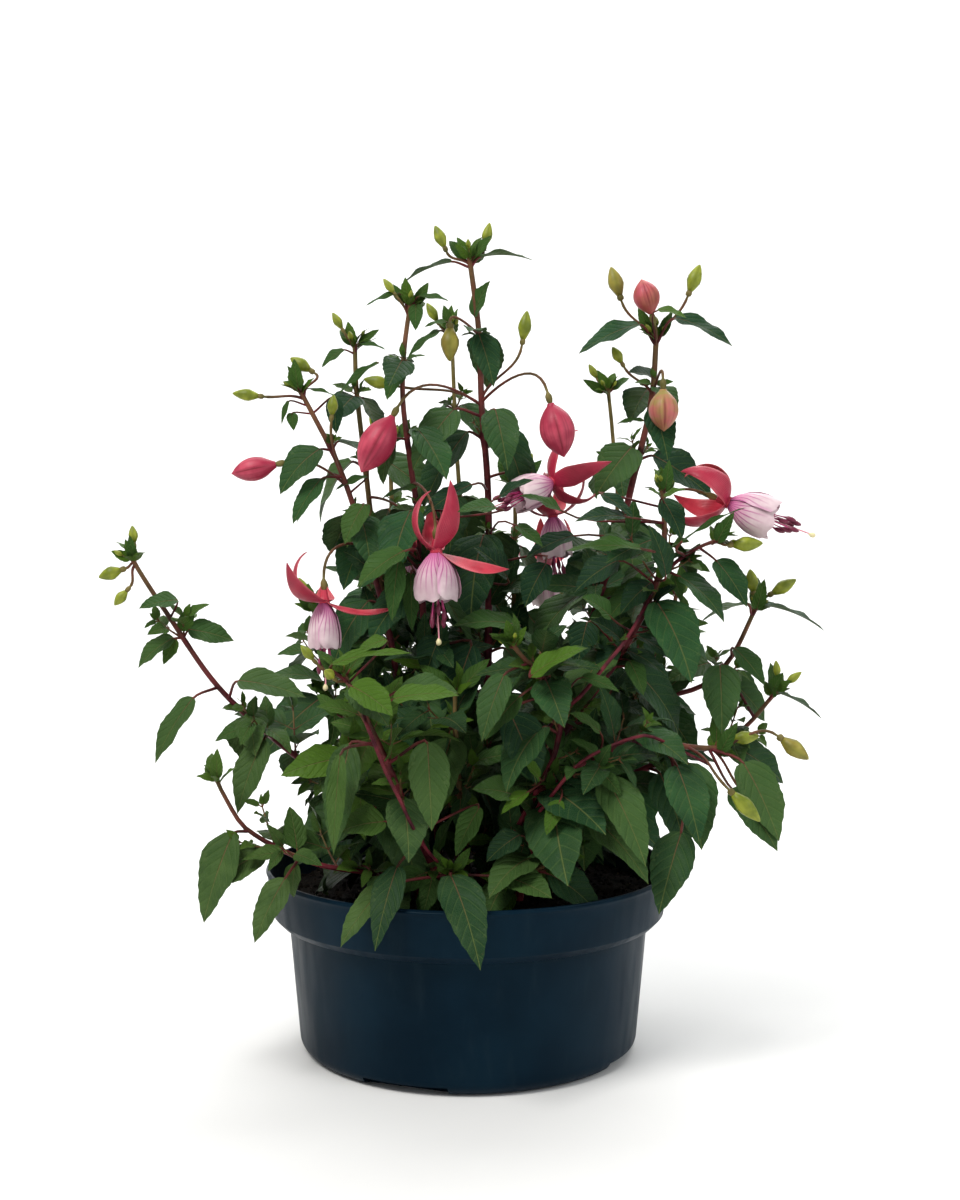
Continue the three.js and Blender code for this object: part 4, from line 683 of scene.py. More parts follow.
branch = row_of("branch", "radius", "pairs", "leaf", "bare", "turn", "droop", "path", "placed",
                "flowers")
blade = row_of("blade", "base", "tip", "half_width", "curl")
green_bud = row_of("green", "share", "centre", "axis", "length", "radius")
pink_bud = row_of("bud", "name", "share", "centre", "axis", "length", "radius")
bloom = row_of("bloom", "name", "share", "centre", "axis", "size", "open", "petal_turn", "sepals")
STEMS = {
    "stem_tall_centre": [branch(3.1, 6, 60, 0.2, 35, 42, [
        (8, 10, 108), (12, 8, 170), (13, 6, 235), (14, 5, 331), (13, 3, 383), (9, 0, 435), (7, 0, 485),
        (1, 0, 532)], [
        blade((-9, -2, 533), (-47, -6, 525), 9, 0.6, level=True),
        blade((7, -2, 533), (44, -6, 530), 8, 0.6, level=True),
        blade((-9, -9, 432), (-36, -30, 391), 14, 0.5), blade((18, -10, 432), (26, -34, 391), 13, 0.5),
        blade((7, -9, 482), (17, -20, 446), 10, 0.5)], [
        green_bud(0.99, (-19, -2, 547), (-0.4, 0, 0.9), 15, 4.5),
        green_bud(0.99, (13, 2, 549), (0.2, 0, 0.97), 15, 4),
        green_bud(0.88, (-12, -12, 474), (0, -0.1, -1), 22, 7),
        green_bud(0.77, (-62, 10, 451), (-0.93, 0, 0.2), 18, 5),
        green_bud(0.78, (38, -6, 488), (0.15, 0, 0.98), 19, 5),
        pink_bud("bud_left_of_centre", 0.77, (-59, -40, 408), (-0.49, -0.05, -0.87), 42, 11.5),
        pink_bud("bud_right_of_centre", 0.775, (58, -44, 417), (0.25, 0, -0.96), 36, 11.5),
        bloom("bloom_behind_right", 0.655, (58, 22, 359), (0.12, -0.1, -1), 0.9, 0.9, 10,
              [(20, 1.9, 5), (115, 1.6, 0), (205, 2.1, 5), (290, 1.8, 0)])])],
    "stem_left_centre": [branch(2.6, 7, 56, 0.22, 70, 39, [
        (-19, -12, 108), (-24, -20, 190), (-29, -22, 278), (-33, -20, 358), (-38, -20, 395),
        (-43, -20, 438), (-42, -20, 470), (-38, -20, 500)], [
        blade((-43, -36, 339), (-71, -50, 314), 12, 0.5)], [
        bloom("bloom_front", 0.7, (-20, -62, 338), (0.03, -0.1, -1), 1, 1, 30,
              [(178, 2.4, -18), (46, 1.3, -34), (-8, 0.8, 38), (262, 2, 0)]),
        green_bud(0.98, (-52, -24, 512), (-0.6, 0, 0.8), 11, 3)])],
    "stem_behind_centre": [branch(2.1, 5, 54, 0.3, 20, 42, [
        (-2, 52, 108), (-4, 62, 200), (-6, 62, 300), (-6, 60, 363), (-9, 60, 413),
        (-12, 60, 490)], [], [
        green_bud(0.99, (-26, 62, 503), (-0.5, 0, 0.85), 14, 4)])],
    "stem_left_second": [branch(2.6, 7, 56, 0.22, 80, 42, [
        (-28, 24, 108), (-44, 34, 200), (-57, 34, 288), (-66, 32, 347), (-71, 30, 392), (-77, 30, 447),
        (-78, 30, 477)], [], [
        bloom("bloom_behind_left", 0.72, (-38, 12, 332), (0, -0.1, -1), 0.85, 0.9, 0,
              [(15, 2, 0), (100, 1.7, 0), (195, 1.5, 0), (280, 2, 0)]),
        green_bud(0.99, (-90, 28, 494), (-0.5, 0, 0.85), 12, 3.5)])],
    "stem_left_third": [branch(2.6, 6, 56, 0.22, 0, 45, [
        (-30, -2, 108), (-42, -8, 200), (-52, -10, 278), (-68, -15, 340), (-85, -20, 393),
        (-104, -20, 431), (-111, -20, 444)], [
        blade((-68, -34, 369), (-80, -44, 343), 9, 0.5),
        blade((-96, -30, 386), (-114, -40, 356), 8, 0.5)], [
        bloom("bloom_left", 0.68, (-92, -62, 306), (0.02, -0.1, -1), 0.95, 0.75, 50,
              [(178, 2.8, 8), (125, 1.6, 12), (-2, 1.1, 38), (265, 1, 10)]),
        pink_bud("bud_far_left", 0.8, (-141, -26, 392), (-0.97, 0, -0.2), 30, 8),
        green_bud(0.81, (-88, -34, 434), (0.1, 0, 1), 13, 4),
        green_bud(0.98, (-147, -20, 441), (-0.95, 0, 0.1), 17, 4.5),
        green_bud(0.99, (-112, -8, 462), (-0.8, 0, 0.5), 15, 5)])],
    "stem_right_tall": [branch(3.3, 7, 58, 0.25, 90, 39, [
        (24, 18, 108), (36, 22, 160), (53, 22, 198), (84, 20, 285), (95, 20, 320), (106, 20, 357),
        (113, 20, 386), (125, 20, 439), (128, 20, 482)], [
        blade((116, 12, 490), (74, 2, 469), 10, 0.5), blade((139, 12, 494), (178, 4, 474), 9, 0.6),
        blade((125, 4, 433), (133, -12, 398), 11, 0.5)], [
        green_bud(0.99, (100, 22, 520), (-0.3, 0, 0.95), 20, 6),
        green_bud(0.99, (154, 20, 522), (0.35, 0, 0.93), 19, 5.5),
        pink_bud("bud_top_right", 0.98, (120, 8, 508), (-0.3, -0.1, 0.95), 24, 9),
        green_bud(0.9, (101, 18, 470), (-0.5, 0, 0.85), 12, 4),
        pink_bud("bud_right_side", 0.9, (130, -12, 431), (0.02, -0.05, -1), 28, 10),
        bloom("bloom_centre_right", 0.76, (55, -10, 383), (-0.8, -0.5, -0.33), 0.95, 0.9, 20,
              [(35, 1.6, 0), (120, 1.8, 0), (215, 1.3, 0), (300, 2.2, 0)])])],
    "stem_right_back": [branch(2.1, 5, 54, 0.28, 90, 42, [
        (38, 48, 108), (60, 66, 190), (95, 78, 284), (106, 72, 363), (102, 70, 420),
        (99, 70, 448)], [], [
        green_bud(0.99, (88, 70, 462), (-0.5, 0, 0.85), 11, 3)])],
    "stem_right_flower": [branch(2.8, 6, 60, 0.28, 30, 42, [
        (24, -22, 108), (34, -36, 160), (52, -48, 205), (69, -50, 229), (103, -50, 278),
        (122, -50, 318), (127, -50, 345), (126, -50, 378)], [], [
        bloom("bloom_right", 0.985, (170, -44, 370), (0.92, -0.15, -0.36), 1, 1, 40,
              [(8, 3.1, 8), (78, 2.6, 5), (185, 2.1, 0), (265, 2.4, 5)])]),
        branch(1.5, 2, 65, 0.3, 0, 35, [
        (136, -51, 333), (150, -54, 342), (160, -56, 346)], [
        blade((161, -46, 333), (180, -56, 303), 11, 0.5)], [
        green_bud(0.97, (180, -60, 344), (0.98, 0, 0.05), 19, 5.5)], fork=0.79)],
    "stem_right_outer_top": [branch(2.4, 4, 60, 0.3, 0, 31, [
        (36, 2, 108), (50, 2, 160), (70, 0, 202), (109, 0, 232), (156, -5, 245), (176, -8, 264),
        (193, -10, 299)], [
        blade((193, -14, 303), (239, -18, 296), 9, 0.6, level=True),
        blade((186, -20, 303), (154, -28, 291), 8, 0.5, level=True),
        blade((176, -30, 274), (195, -38, 250), 9, 0.5)], [
        green_bud(0.99, (190, -10, 318), (-0.15, 0, 1), 15, 5),
        green_bud(0.99, (212, -12, 314), (0.85, 0, 0.5), 18, 5)])],
    "stem_right_outer_middle": [branch(2.2, 4, 64, 0.3, 20, 36, [
        (38, -14, 108), (58, -18, 150), (88, -22, 178), (127, -24, 196), (164, -24, 208),
        (184, -24, 220), (204, -24, 243)], [
        blade((204, -30, 245), (234, -34, 227), 8, 0.5, level=True),
        blade((165, -46, 260), (164, -60, 213), 13, 0.5)], [
        green_bud(0.99, (205, -25, 260), (-0.1, 0, 1), 11, 3),
        green_bud(0.99, (217, -24, 254), (0.8, 0, 0.6), 12, 3.2)])],
    "stem_right_low": [branch(3, 3, 68, 0.4, 30, 45, [
        (34, -36, 108), (42, -60, 150), (48, -76, 179), (74, -80, 206), (115, -76, 219),
        (142, -68, 214), (161, -62, 212)], [
        blade((168, -78, 189), (195, -96, 152), 13, 0.5),
        blade((139, -86, 207), (146, -106, 155), 15, 0.5),
        blade((135, -92, 164), (119, -112, 116), 14, 0.5),
        blade((86, -95, 200), (109, -130, 150), 14, 0.6),
        blade((67, -100, 177), (95, -135, 137), 14, 0.6),
        blade((131, -96, 207), (142, -125, 164), 14, 0.6),
        blade((176, -72, 205), (196, -95, 158), 15, 0.5)], [
        green_bud(0.99, (180, -60, 219), (0.95, 0, 0.1), 17, 5),
        green_bud(0.99, (211, -66, 212), (0.8, -0.1, -0.6), 21, 6.2),
        green_bud(0.98, (184, -62, 176), (0.6, 0, -0.75), 19, 6)])],
    "stem_left_long": [branch(2.4, 4, 44, 0.3, 0, 42, [
        (-40, 10, 108), (-50, 0, 140), (-70, -12, 168), (-111, -28, 199), (-162, -38, 247),
        (-197, -45, 300), (-213, -45, 325), (-218, -45, 334)], [
        blade((-132, -58, 218), (-147, -76, 172), 11, 0.5),
        blade((-188, -48, 307), (-212, -56, 302), 9, 0.5),
        blade((-178, -50, 244), (-203, -55, 201), 9, 0.5),
        blade((-149, -52, 255), (-104, -62, 245), 13, 0.4)], [
        green_bud(0.99, (-233, -45, 324), (-0.9, 0, -0.3), 15, 5),
        green_bud(0.985, (-226, -46, 308), (-0.6, 0, -0.7), 12, 4),
        green_bud(0.99, (-217, -46, 350), (-0.1, 0, 1), 11, 3.5)])],
    "stem_left_low": [branch(2, 3, 56, 0.3, 10, 35, [
        (-22, -42, 108), (-40, -56, 124), (-64, -72, 133), (-99, -86, 143), (-139, -90, 165),
        (-153, -90, 186), (-158, -90, 197)], [
        blade((-147, -94, 164), (-165, -102, 108), 13.5, 0.5),
        blade((-113, -107, 138), (-131, -120, 100), 10, 0.5)], [])],
    "stem_front_left": [branch(2.4, 2, 62, 0.55, 60, 28, [
        (-14, -56, 108), (-20, -74, 132), (-30, -95, 160), (-40, -110, 188), (-49, -120, 213),
        (-62, -128, 243), (-74, -132, 268)], [
        blade((-68, -140, 262), (-46, -160, 240), 13, 0.6),
        blade((-41, -130, 258), (-5, -136, 257), 12, 0.6),
        blade((-72, -116, 224), (-81, -132, 160), 11, 0.6),
        blade((-24, -124, 226), (-21, -140, 174), 13, 0.5),
        blade((-43, -115, 147), (-55, -150, 103), 10, 0.7)], [
        green_bud(0.97, (-97, -126, 281), (-0.6, 0, 0.7), 11, 3.5),
        green_bud(0.97, (-82, -146, 270), (-0.3, -0.6, 0.4), 10, 3.5)])],
    "stem_front_low": [branch(1.8, 1, 50, 0.5, 0, 14, [
        (-8, -70, 108), (-10, -86, 126), (-10, -98, 137), (-10, -108, 142)], [
        blade((-10, -122, 139), (5, -153, 83), 14, 0.9),
        blade((-50, -116, 134), (-76, -145, 104), 9, 0.8),
        blade((26, -108, 138), (52, -128, 130), 12, 0.4)], [])],
    "stem_front_right": [branch(2.2, 4, 56, 0.45, 30, 28, [
        (12, -38, 108), (28, -56, 150), (44, -72, 185), (56, -84, 215), (58, -92, 245), (50, -98, 262),
        (38, -106, 272), (28, -112, 284)], [
        blade((42, -110, 264), (74, -120, 283), 10, 0.5),
        blade((23, -112, 266), (9, -126, 226), 10, 0.6)], [])],
    "stem_middle_fill": [branch(2.2, 4, 70, 0.25, 0, 49, [
        (0, -22, 108), (-2, -40, 150), (-6, -54, 190), (-8, -62, 224), (-8, -64, 250)], [], [])],
    "stem_right_fill": [branch(2.2, 4, 66, 0.25, 0, 42, [
        (48, 22, 108), (74, 32, 150), (100, 38, 192), (120, 40, 232), (130, 40, 262)], [], [])],
    "stem_left_fill": [branch(2.1, 4, 64, 0.25, 30, 42, [
        (-34, -26, 108), (-46, -44, 140), (-58, -62, 172), (-70, -74, 204), (-78, -80, 236)], [], [])],
    "stem_front_fill": [branch(2, 3, 66, 0.35, 20, 39, [
        (20, -58, 108), (32, -80, 130), (48, -96, 143), (62, -102, 152)], [], [])],
    "stem_back_left": [branch(2.5, 5, 60, 0.22, 0, 42, [
        (-20, 44, 108), (-34, 70, 190), (-48, 92, 280), (-56, 104, 350), (-58, 110, 412)], [], [
        green_bud(0.99, (-70, 118, 428), (-0.4, 0.2, 0.85), 15, 4.5)])],
    "stem_back_centre": [branch(2.5, 5, 62, 0.22, 0, 42, [
        (14, 66, 108), (22, 92, 180), (30, 112, 250), (34, 122, 320), (34, 126, 382)], [], [
        bloom("bloom_back", 0.86, (58, 156, 318), (0.1, 0.15, -1), 0.95, 1, 15,
              [(0, 2.2, 0), (90, 1.6, 0), (180, 2, 0), (270, 2.4, 0)]),
        green_bud(0.99, (44, 134, 398), (0.4, 0.2, 0.85), 15, 4.5)])],
    "stem_back_far_left": [branch(2.3, 5, 62, 0.25, 0, 39, [
        (-44, 34, 108), (-70, 54, 160), (-92, 68, 210), (-106, 76, 256), (-112, 78, 292)], [], [
        green_bud(0.99, (-120, 82, 308), (-0.4, 0, 0.85), 14, 4)])],
    "stem_back_far_right": [branch(2.3, 5, 62, 0.25, 0, 39, [
        (54, 40, 108), (86, 62, 160), (116, 80, 205), (140, 92, 255), (152, 98, 302)], [], [
        green_bud(0.99, (160, 104, 320), (0.4, 0.2, 0.85), 14, 4)])],
    "stem_back_low_right": [branch(2.1, 4, 68, 0.3, 0, 42, [
        (18, 36, 108), (40, 76, 140), (62, 112, 165), (84, 140, 190), (98, 156, 224)], [], [])],
    "stem_back_low_left": [branch(2.1, 4, 68, 0.3, 0, 42, [
        (-6, 26, 108), (-20, 70, 136), (-34, 112, 160), (-52, 144, 190), (-62, 158, 222)], [], [])],
}
print("stems:", len(STEMS))

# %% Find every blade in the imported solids
# The leaves at the tips of the shoots are young and slender.
TIP_LEAF = dict(share=0.9, longest=32, slender=0.68, youth=0.45)
chance = random.Random(41)
vary = chance.uniform
PLANTS = []
missing = 0
for name, shoots in STEMS.items():
    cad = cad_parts[name]
    tree = kdtree.KDTree(len(cad.data.vertices))
    for vertex in cad.data.vertices:
        tree.insert(vertex.co, vertex.index)
    tree.balance()
    plant = dict(name=name, lines=[], leaves=[], buds=[], shoots=[])
    trunk = GrowthCurve(shoots[0]["path"], True)
    for order, shoot in enumerate(shoots):
        fork = [] if order == 0 else [list(trunk.axis(shoot["fork"]))]
        curve = GrowthCurve(fork + shoot["path"], order == 0)
        plant["shoots"].append((shoot, curve))
        for leaf in shoot_leaves(shoot, curve):
            held = packed_leaf(leaf, tree)
            if held is None:
                missing += 1
                continue
            held["start"] = curve.point(held["share"])
            if held["share"] > TIP_LEAF["share"] and held["length"] < TIP_LEAF["longest"]:
                held.update(half=held["half"] * TIP_LEAF["slender"], youth=TIP_LEAF["youth"])
            plant["leaves"].append(held)
    PLANTS.append(plant)
print("blades found:", sum(len(plant["leaves"]) for plant in PLANTS), "left out:", missing)

# %% [markdown]
# ## Lines: stems, leaf stalks and flower stalks
# Everything thin that follows a path is one kind of thing, so one small tree makes it. The script lays
# the path as bare lines with a thickness at each point, and the tree turns the lines into curves and
# sweeps a round profile along them. Swellings at the joints are only larger numbers.

# %% Tree for lines
STRAND, inward = shape_tree("strands", Sides=("Int", 7))


def close_tree(tree, geometry, material):
    real = add(tree, "GeometryNodeRealizeInstances", {"Geometry": geometry})
    smooth = add(tree, "GeometryNodeSetShadeSmooth", {"Geometry": real.outputs[0]})
    done = add(tree, "GeometryNodeSetMaterial", {"Geometry": smooth.outputs[0], "Material": material})
    feed(tree, tree.nodes["Group Output"].inputs[0], done.outputs[0])


curves = add(STRAND, "GeometryNodeMeshToCurve", {"Mesh": inward["Geometry"]})
profile = add(STRAND, "GeometryNodeCurvePrimitiveCircle",
              {"Resolution": inward["Sides"], "Radius": 1.0})
swept = add(STRAND, "GeometryNodeCurveToMesh", {
    "Curve": curves.outputs[0], "Profile Curve": profile.outputs[0], "Scale": named(STRAND, "thick"),
    "Fill Caps": True})
close_tree(STRAND, swept.outputs[0], inward["Material"])


def lines_mesh(name, lines, marks=("redness",)):
    """lines: lists of (point, radius, mark, ...) in millimetres."""
    points, edges, thick = [], [], []
    extra = {label: [] for label in marks}
    for line in lines:
        start = len(points)
        for point, radius, *values in line:
            points.append(point * MM)
            thick.append(radius * MM)
            for label, value in zip(marks, values):
                extra[label].append(value)
        edges += [(i, i + 1) for i in range(start, len(points) - 1)]
    return mark(plain_mesh(name, points, edges), thick=thick, **extra)


print("strand nodes:", len(STRAND.nodes))

# %% Stems, stalks and ovaries
# How red each stem is at its foot. The others are wine red.
REDNESS = {
    "stem_behind_centre": 0.15, "stem_left_second": 0.45, "stem_right_back": 0.3, "stem_back_left": 0.4,
    "stem_middle_fill": 0.5, "stem_right_fill": 0.5, "stem_front_fill": 0.6, "stem_back_centre": 0.5,
}
# In millimetres: step, thinnest, knee (how far a joint swells) and buried. The others are shares.
STEM = dict(step=7, thinnest=0.4, tip_share=0.45, taper=0.8, knee=4, swell=0.35, blush=0.3, buried=20)


def stem_line(shoot, curve, redness, rooted):
    """A stem that tapers to its tip, with a redder swelling at each joint."""
    joints = [joint_share(shoot, curve, joint) for joint in range(shoot["pairs"])]
    count = max(12, int(curve.length / STEM["step"]))
    thin = STEM["thinnest"] + STEM["tip_share"] * shoot["radius"]
    line = [(curve.point(0) - UP * STEM["buried"], shoot["radius"], redness)] if rooted else []
    for share in evenly(count):
        radius = thin + (shoot["radius"] - thin) * (1 - share) ** STEM["taper"]
        near = min(abs(share - joint) * curve.length for joint in joints)
        knee = max(0.0, 1 - near / STEM["knee"])
        tint = min(1.0, redness * (1 - 0.5 * share**6) + STEM["blush"] * knee)
        line.append((curve.point(share), radius * (1 + STEM["swell"] * knee), tint))
    return line


def stalk_line(start, leaf, redness):
    """A leaf stalk that leaves the stem and runs into the midrib."""
    end = leaf["base"] + leaf["along"] * 1.5
    span = end - start
    reach = span.length
    size = min(1.0, 0.45 + leaf["length"] / 100)
    return [(hermite(start, span, end, leaf["along"] * reach * 0.9, f), size * (1.2 - 0.35 * f),
             redness * (1 - 0.2 * f)) for f in evenly(5)]


def flower_line(curve, share, foot, axis, sections):
    """A flower stalk that arches from the stem to the foot of an ovary, and the ovary itself."""
    start = curve.point(share)
    span = (foot - start).length
    leave = ((foot - start).normalized() + curve.tangent(share) * 0.6).normalized()
    b, c = start + leave * (0.4 * span), foot - axis * (0.4 * span)
    line = []
    for f in evenly(12)[:-1]:
        point = (start * (1 - f)**3 + b * (3 * f * (1 - f)**2) + c * (3 * f**2 * (1 - f)) + foot * f**3)
        line.append((point, 1.1 - 0.2 * sin(pi * f), 0.9 - 0.4 * f))
    return line + [(foot + axis * height, radius, 0.08) for height, radius in sections]


# %% [markdown]
# ### Leaves that the eye meets first
# Those in front of the tangle of stems, and the slender ones at the top. Each row gives the foot of a
# leaf (x, y, z), its tip (x, z), half its width and how young it is. Its tip leans a little to the
# front, and it grows from the nearest shoot.

# %% Leaves in front
TIP_AHEAD, FRONT_CURL = 6, 0.55
FRONT_LEAVES = [
    (3, -35, 382, -31, 359, 8, 0), (18, -96, 368, -6, 365, 8, 0.3), (-40, -70, 340, -70, 317, 11, 0.3),
    (-44, -66, 334, -48, 295, 7, 0.3), (-37, -46, 325, -36, 287, 6, 0.3), (26, -36, 321, 4, 341, 12, 0),
    (31, -44, 291, -10, 290, 11, 0.3), (-18, -44, 283, -27, 258, 12, 0), (3, -46, 278, -13, 223, 14, 0),
    (51, -50, 331, 37, 303, 11, 0), (60, -62, 365, 33, 375, 6, 0.3), (20, -75, 374, 42, 385, 6, 0),
    (31, -64, 356, 48, 342, 6, 0.3), (69, -50, 349, 37, 334, 9, 0), (39, -126, 266, 71, 284, 9, 0.85),
    (33, -108, 252, 11, 225, 9, 0.3), (27, -96, 239, 43, 196, 15, 0), (45, -108, 200, 34, 212, 7, 0.85),
    (30, -104, 189, 3, 194, 12, 0.3), (38, -112, 193, 21, 180, 5, 0.85),
    (-44, -150, 255, -4, 258, 9, 0.85), (-68, -158, 264, -43, 247, 12, 0.85),
    (-81, -146, 275, -32, 283, 5, 0.85), (-48, -140, 290, -65, 282, 6, 0.85),
    (-50, -122, 176, -78, 171, 14, 0.3), (-76, -138, 221, -80, 160, 6, 0.3),
    (8, -104, 182, -7, 152, 8, 0.3), (33, -102, 164, 12, 148, 10, 0), (58, -108, 187, 49, 166, 6, 0.85),
    (83, -100, 228, 63, 241, 6, 0.3), (83, -96, 211, 64, 224, 6, 0.3), (109, -92, 342, 61, 341, 7, 0.3),
    (99, -84, 362, 67, 359, 8, 0), (84, -80, 376, 104, 361, 6, 0), (126, -72, 324, 114, 357, 9, 0),
    (124, -66, 373, 136, 347, 9, 0), (123, -78, 374, 137, 379, 4, 0.85),
    (122, -78, 374, 113, 379, 4, 0.85), (133, -92, 346, 173, 368, 2, 0.3),
    (118, -58, 319, 98, 299, 10, 0), (120, -56, 306, 134, 317, 6, 0), (97, -52, 333, 69, 313, 12, 0),
    (91, -74, 298, 72, 311, 11, 0.3), (77, -60, 294, 71, 269, 10, 0), (99, -68, 282, 78, 296, 11, 0),
    (109, -58, 285, 136, 266, 6, 0), (103, -54, 275, 128, 259, 7, 0), (104, -60, 269, 113, 247, 7, 0.3),
    (96, -62, 278, 83, 259, 8, 0), (71, -94, 262, 95, 253, 6, 0.3), (110, -58, 298, 150, 302, 3, 0.3),
    (129, -50, 287, 142, 279, 6, 0.85), (116, -52, 287, 134, 292, 6, 0.3), (4, 0, 494, 15, 517, 8, 0.3),
    (-44, -22, 507, -67, 498, 3, 0.3), (-33, -22, 505, -12, 501, 4, 0.3),
    (-34, -24, 500, -34, 482, 5, 0.3), (-20, 50, 489, -43, 468, 4, 0.3),
    (-15, 50, 495, -31, 490, 3, 0.3), (-85, 26, 474, -100, 461, 5, 0.3),
    (-76, 26, 478, -56, 473, 3, 0.3), (-61, 24, 465, -89, 442, 4, 0.3),
    (-42, -22, 462, -53, 437, 8, 0.3), (-89, -14, 440, -87, 415, 6, 0),
    (-107, -22, 445, -84, 438, 2, 0.3), (-118, -24, 437, -122, 421, 2, 0.3),
    (-116, -24, 429, -114, 417, 4, 0.3), (-92, -12, 389, -114, 356, 3, 0.3),
    (-67, -14, 387, -88, 378, 4, 0.3), (-66, -20, 369, -80, 340, 7, 0.3),
    (-33, -24, 381, -57, 372, 3, 0.3), (126, -4, 498, 145, 492, 5, 0.85),
    (129, 30, 455, 109, 458, 9, 0), (122, 40, 426, 102, 423, 3, 0.3),
]
ROUTES = [(plant, curve) for plant in PLANTS for _, curve in plant["shoots"]]

for x, y, z, tip_x, tip_z, half, youth in FRONT_LEAVES:
    base = Vector((x, y, z))
    plant, curve = min(ROUTES, key=lambda route: min((route[1].point(share) - base).length
                                                     for share in evenly(20)[4:-1]))
    leaf = placed_leaf(curve, blade(base, (tip_x, y - TIP_AHEAD, tip_z), half, FRONT_CURL))
    leaf.update(start=curve.point(leaf["share"]), youth=youth, tone=1.0 if youth == 0 else 0.4)
    plant["leaves"].append(leaf)
print("leaves placed in front:", len(FRONT_LEAVES))

# %% Stems, stalks and ovaries of the flowers
# One more green bud hangs low at the right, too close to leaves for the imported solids.
LOW_BUD = green_bud(0.9, (172, -118, 184), (0.7, 0, -0.71), 24, 5.7)
# A green bud as thick as this begins to flush pink.
FLUSHING, FLUSH = 5.8, 0.28
# Where the solids end above a bloom's centre, then the height of an ovary and its sections as (height,
# radius) pairs. Those of a green bud have radii in shares of the bud's own.
BLOOM_LEAD, OVARY, SMALL_OVARY = 9, 7.3, 4.2
SECTIONS = [(0, 0.9), (1, 1.5), (2.5, 2.3), (4.8, 2.3), (6.4, 1.9), (7.2, 1.5)]
SMALL_SECTIONS = [(0.8, 0.36), (2.2, 0.414), (3.6, 0.36), (4.6, 0.288)]
BLOOMS, PINK_BUDS = [], []
for plant in PLANTS:
    if plant["name"] == "stem_right_low":
        plant["shoots"][0][0]["flowers"].append(LOW_BUD)
    red = REDNESS.get(plant["name"], 1.0)
    for order, (shoot, curve) in enumerate(plant["shoots"]):
        plant["lines"].append(stem_line(shoot, curve, red, order == 0))
        for flower in shoot["flowers"]:
            axis = Vector(flower["axis"]).normalized()
            lead = BLOOM_LEAD * flower["size"] if flower["kind"] == "bloom" else flower["length"] / 2
            seat = Vector(flower["centre"]) - axis * lead
            if flower["kind"] == "green":
                radius = flower["radius"]
                foot = seat - axis * SMALL_OVARY
                sections = [(0, 0.8), *((height, share * radius) for height, share in SMALL_SECTIONS)]
                plant["buds"].append((seat - axis * 0.1, axis, radius, flower["length"] + 0.1,
                                      0.0 if radius < FLUSHING else FLUSH))
            else:
                foot, sections = seat - axis * OVARY, SECTIONS
                (BLOOMS if flower["kind"] == "bloom" else PINK_BUDS).append((flower, seat, axis))
            plant["lines"].append(flower_line(curve, flower["share"], foot, axis, sections))
    for leaf in plant["leaves"]:
        plant["lines"].append(stalk_line(leaf["start"], leaf, 1.0))
print("blooms:", len(BLOOMS), "pink buds:", len(PINK_BUDS))

# %% [markdown]
# ## Young growth
# In each angle between a leaf and its stem a side shoot begins, with one or two pairs of small bright
# leaves, and each stem ends in a cluster of the youngest ones. They are too many and too small for the
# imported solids, so they are grown here, on the same curves.


# %% Young leaves and short shoots
# Shares of a young leaf's length, and how far it strays from the light.
YOUNG = dict(stalk=0.16, half=(0.22, 0.29), curl=(0.3, 0.9), stray=0.5, roll=25)


def young_leaf(plant, start, heading, length, youth):
    along = heading.normalized()
    aside = [vary(-YOUNG["stray"], YOUNG["stray"]) for _ in range(2)]
    face = square_to(along, LIGHT + Vector((*aside, 0)))
    face = turned(face, along, radians(vary(-YOUNG["roll"], YOUNG["roll"])))
    base = start + along * (YOUNG["stalk"] * length)
    plant["leaves"].append(dict(start=start, base=base, along=along, face=face, length=length,
                                half=length * vary(*YOUNG["half"]),
                                curl=vary(*YOUNG["curl"]), youth=youth, young=True))
    plant["lines"].append([(start, 0.5, 0.8), (base + along * 1.0, 0.35, 0.4)])


def side_shoot(plant, start, heading, reach, leaf, pairs, youth):
    """A short shoot with crossing pairs of small leaves."""
    heading = heading.normalized()
    end = start + heading * reach + UP * (0.15 * reach)
    line = []
    for f in evenly(4):
        point = start.lerp(end, f) + UP * (sin(pi * f) * -0.06 * reach)
        line.append((point, 0.8 - 0.3 * f, 0.9 - 0.6 * f))
    plant["lines"].append(line)
    across = square_to(heading, UP if abs(heading.z) < 0.85 else RIGHT)
    for pair in range(pairs):
        spot = line[-1][0].lerp(start, 0.42 * pair)
        size = leaf * (0.62 + 0.38 * min(1.0, pair)) if pairs > 1 else leaf
        for way in (0, pi):
            out = turned(across, heading, way + pi / 2 * pair + vary(-0.3, 0.3))
            lean = 1.1 - 0.5 * pair
            young_leaf(plant, spot, out + heading * lean, size * vary(0.8, 1.15), youth)
    young_leaf(plant, line[-1][0], heading + across * 0.2, leaf * 0.4, min(1.0, youth + 0.2))
    return end


def tiny_bud(plant, start, heading):
    """A bud that has only just formed, on a thin stalk of its own."""
    radius = vary(1.3, 2.3)
    foot = start + heading * vary(5, 10)
    plant["lines"].append([(start, 0.4, 0.3), (start.lerp(foot, 0.5), 0.35, 0.2), (foot, 0.5, 0.0),
                           (foot + heading, 0.7, 0.0)])
    plant["buds"].append((foot + heading * 0.5, heading, radius, radius * 3.2, 0.0))


print("helpers of young growth are ready")

# %% The heart and the arches
# The heart of the plant: its height, its radius, and how far apart its shoots stand on a stem.
HEART = dict(low=128, high=322, radius=140, spacing=27, shoot=(12, 32), leaf=(25, 41))


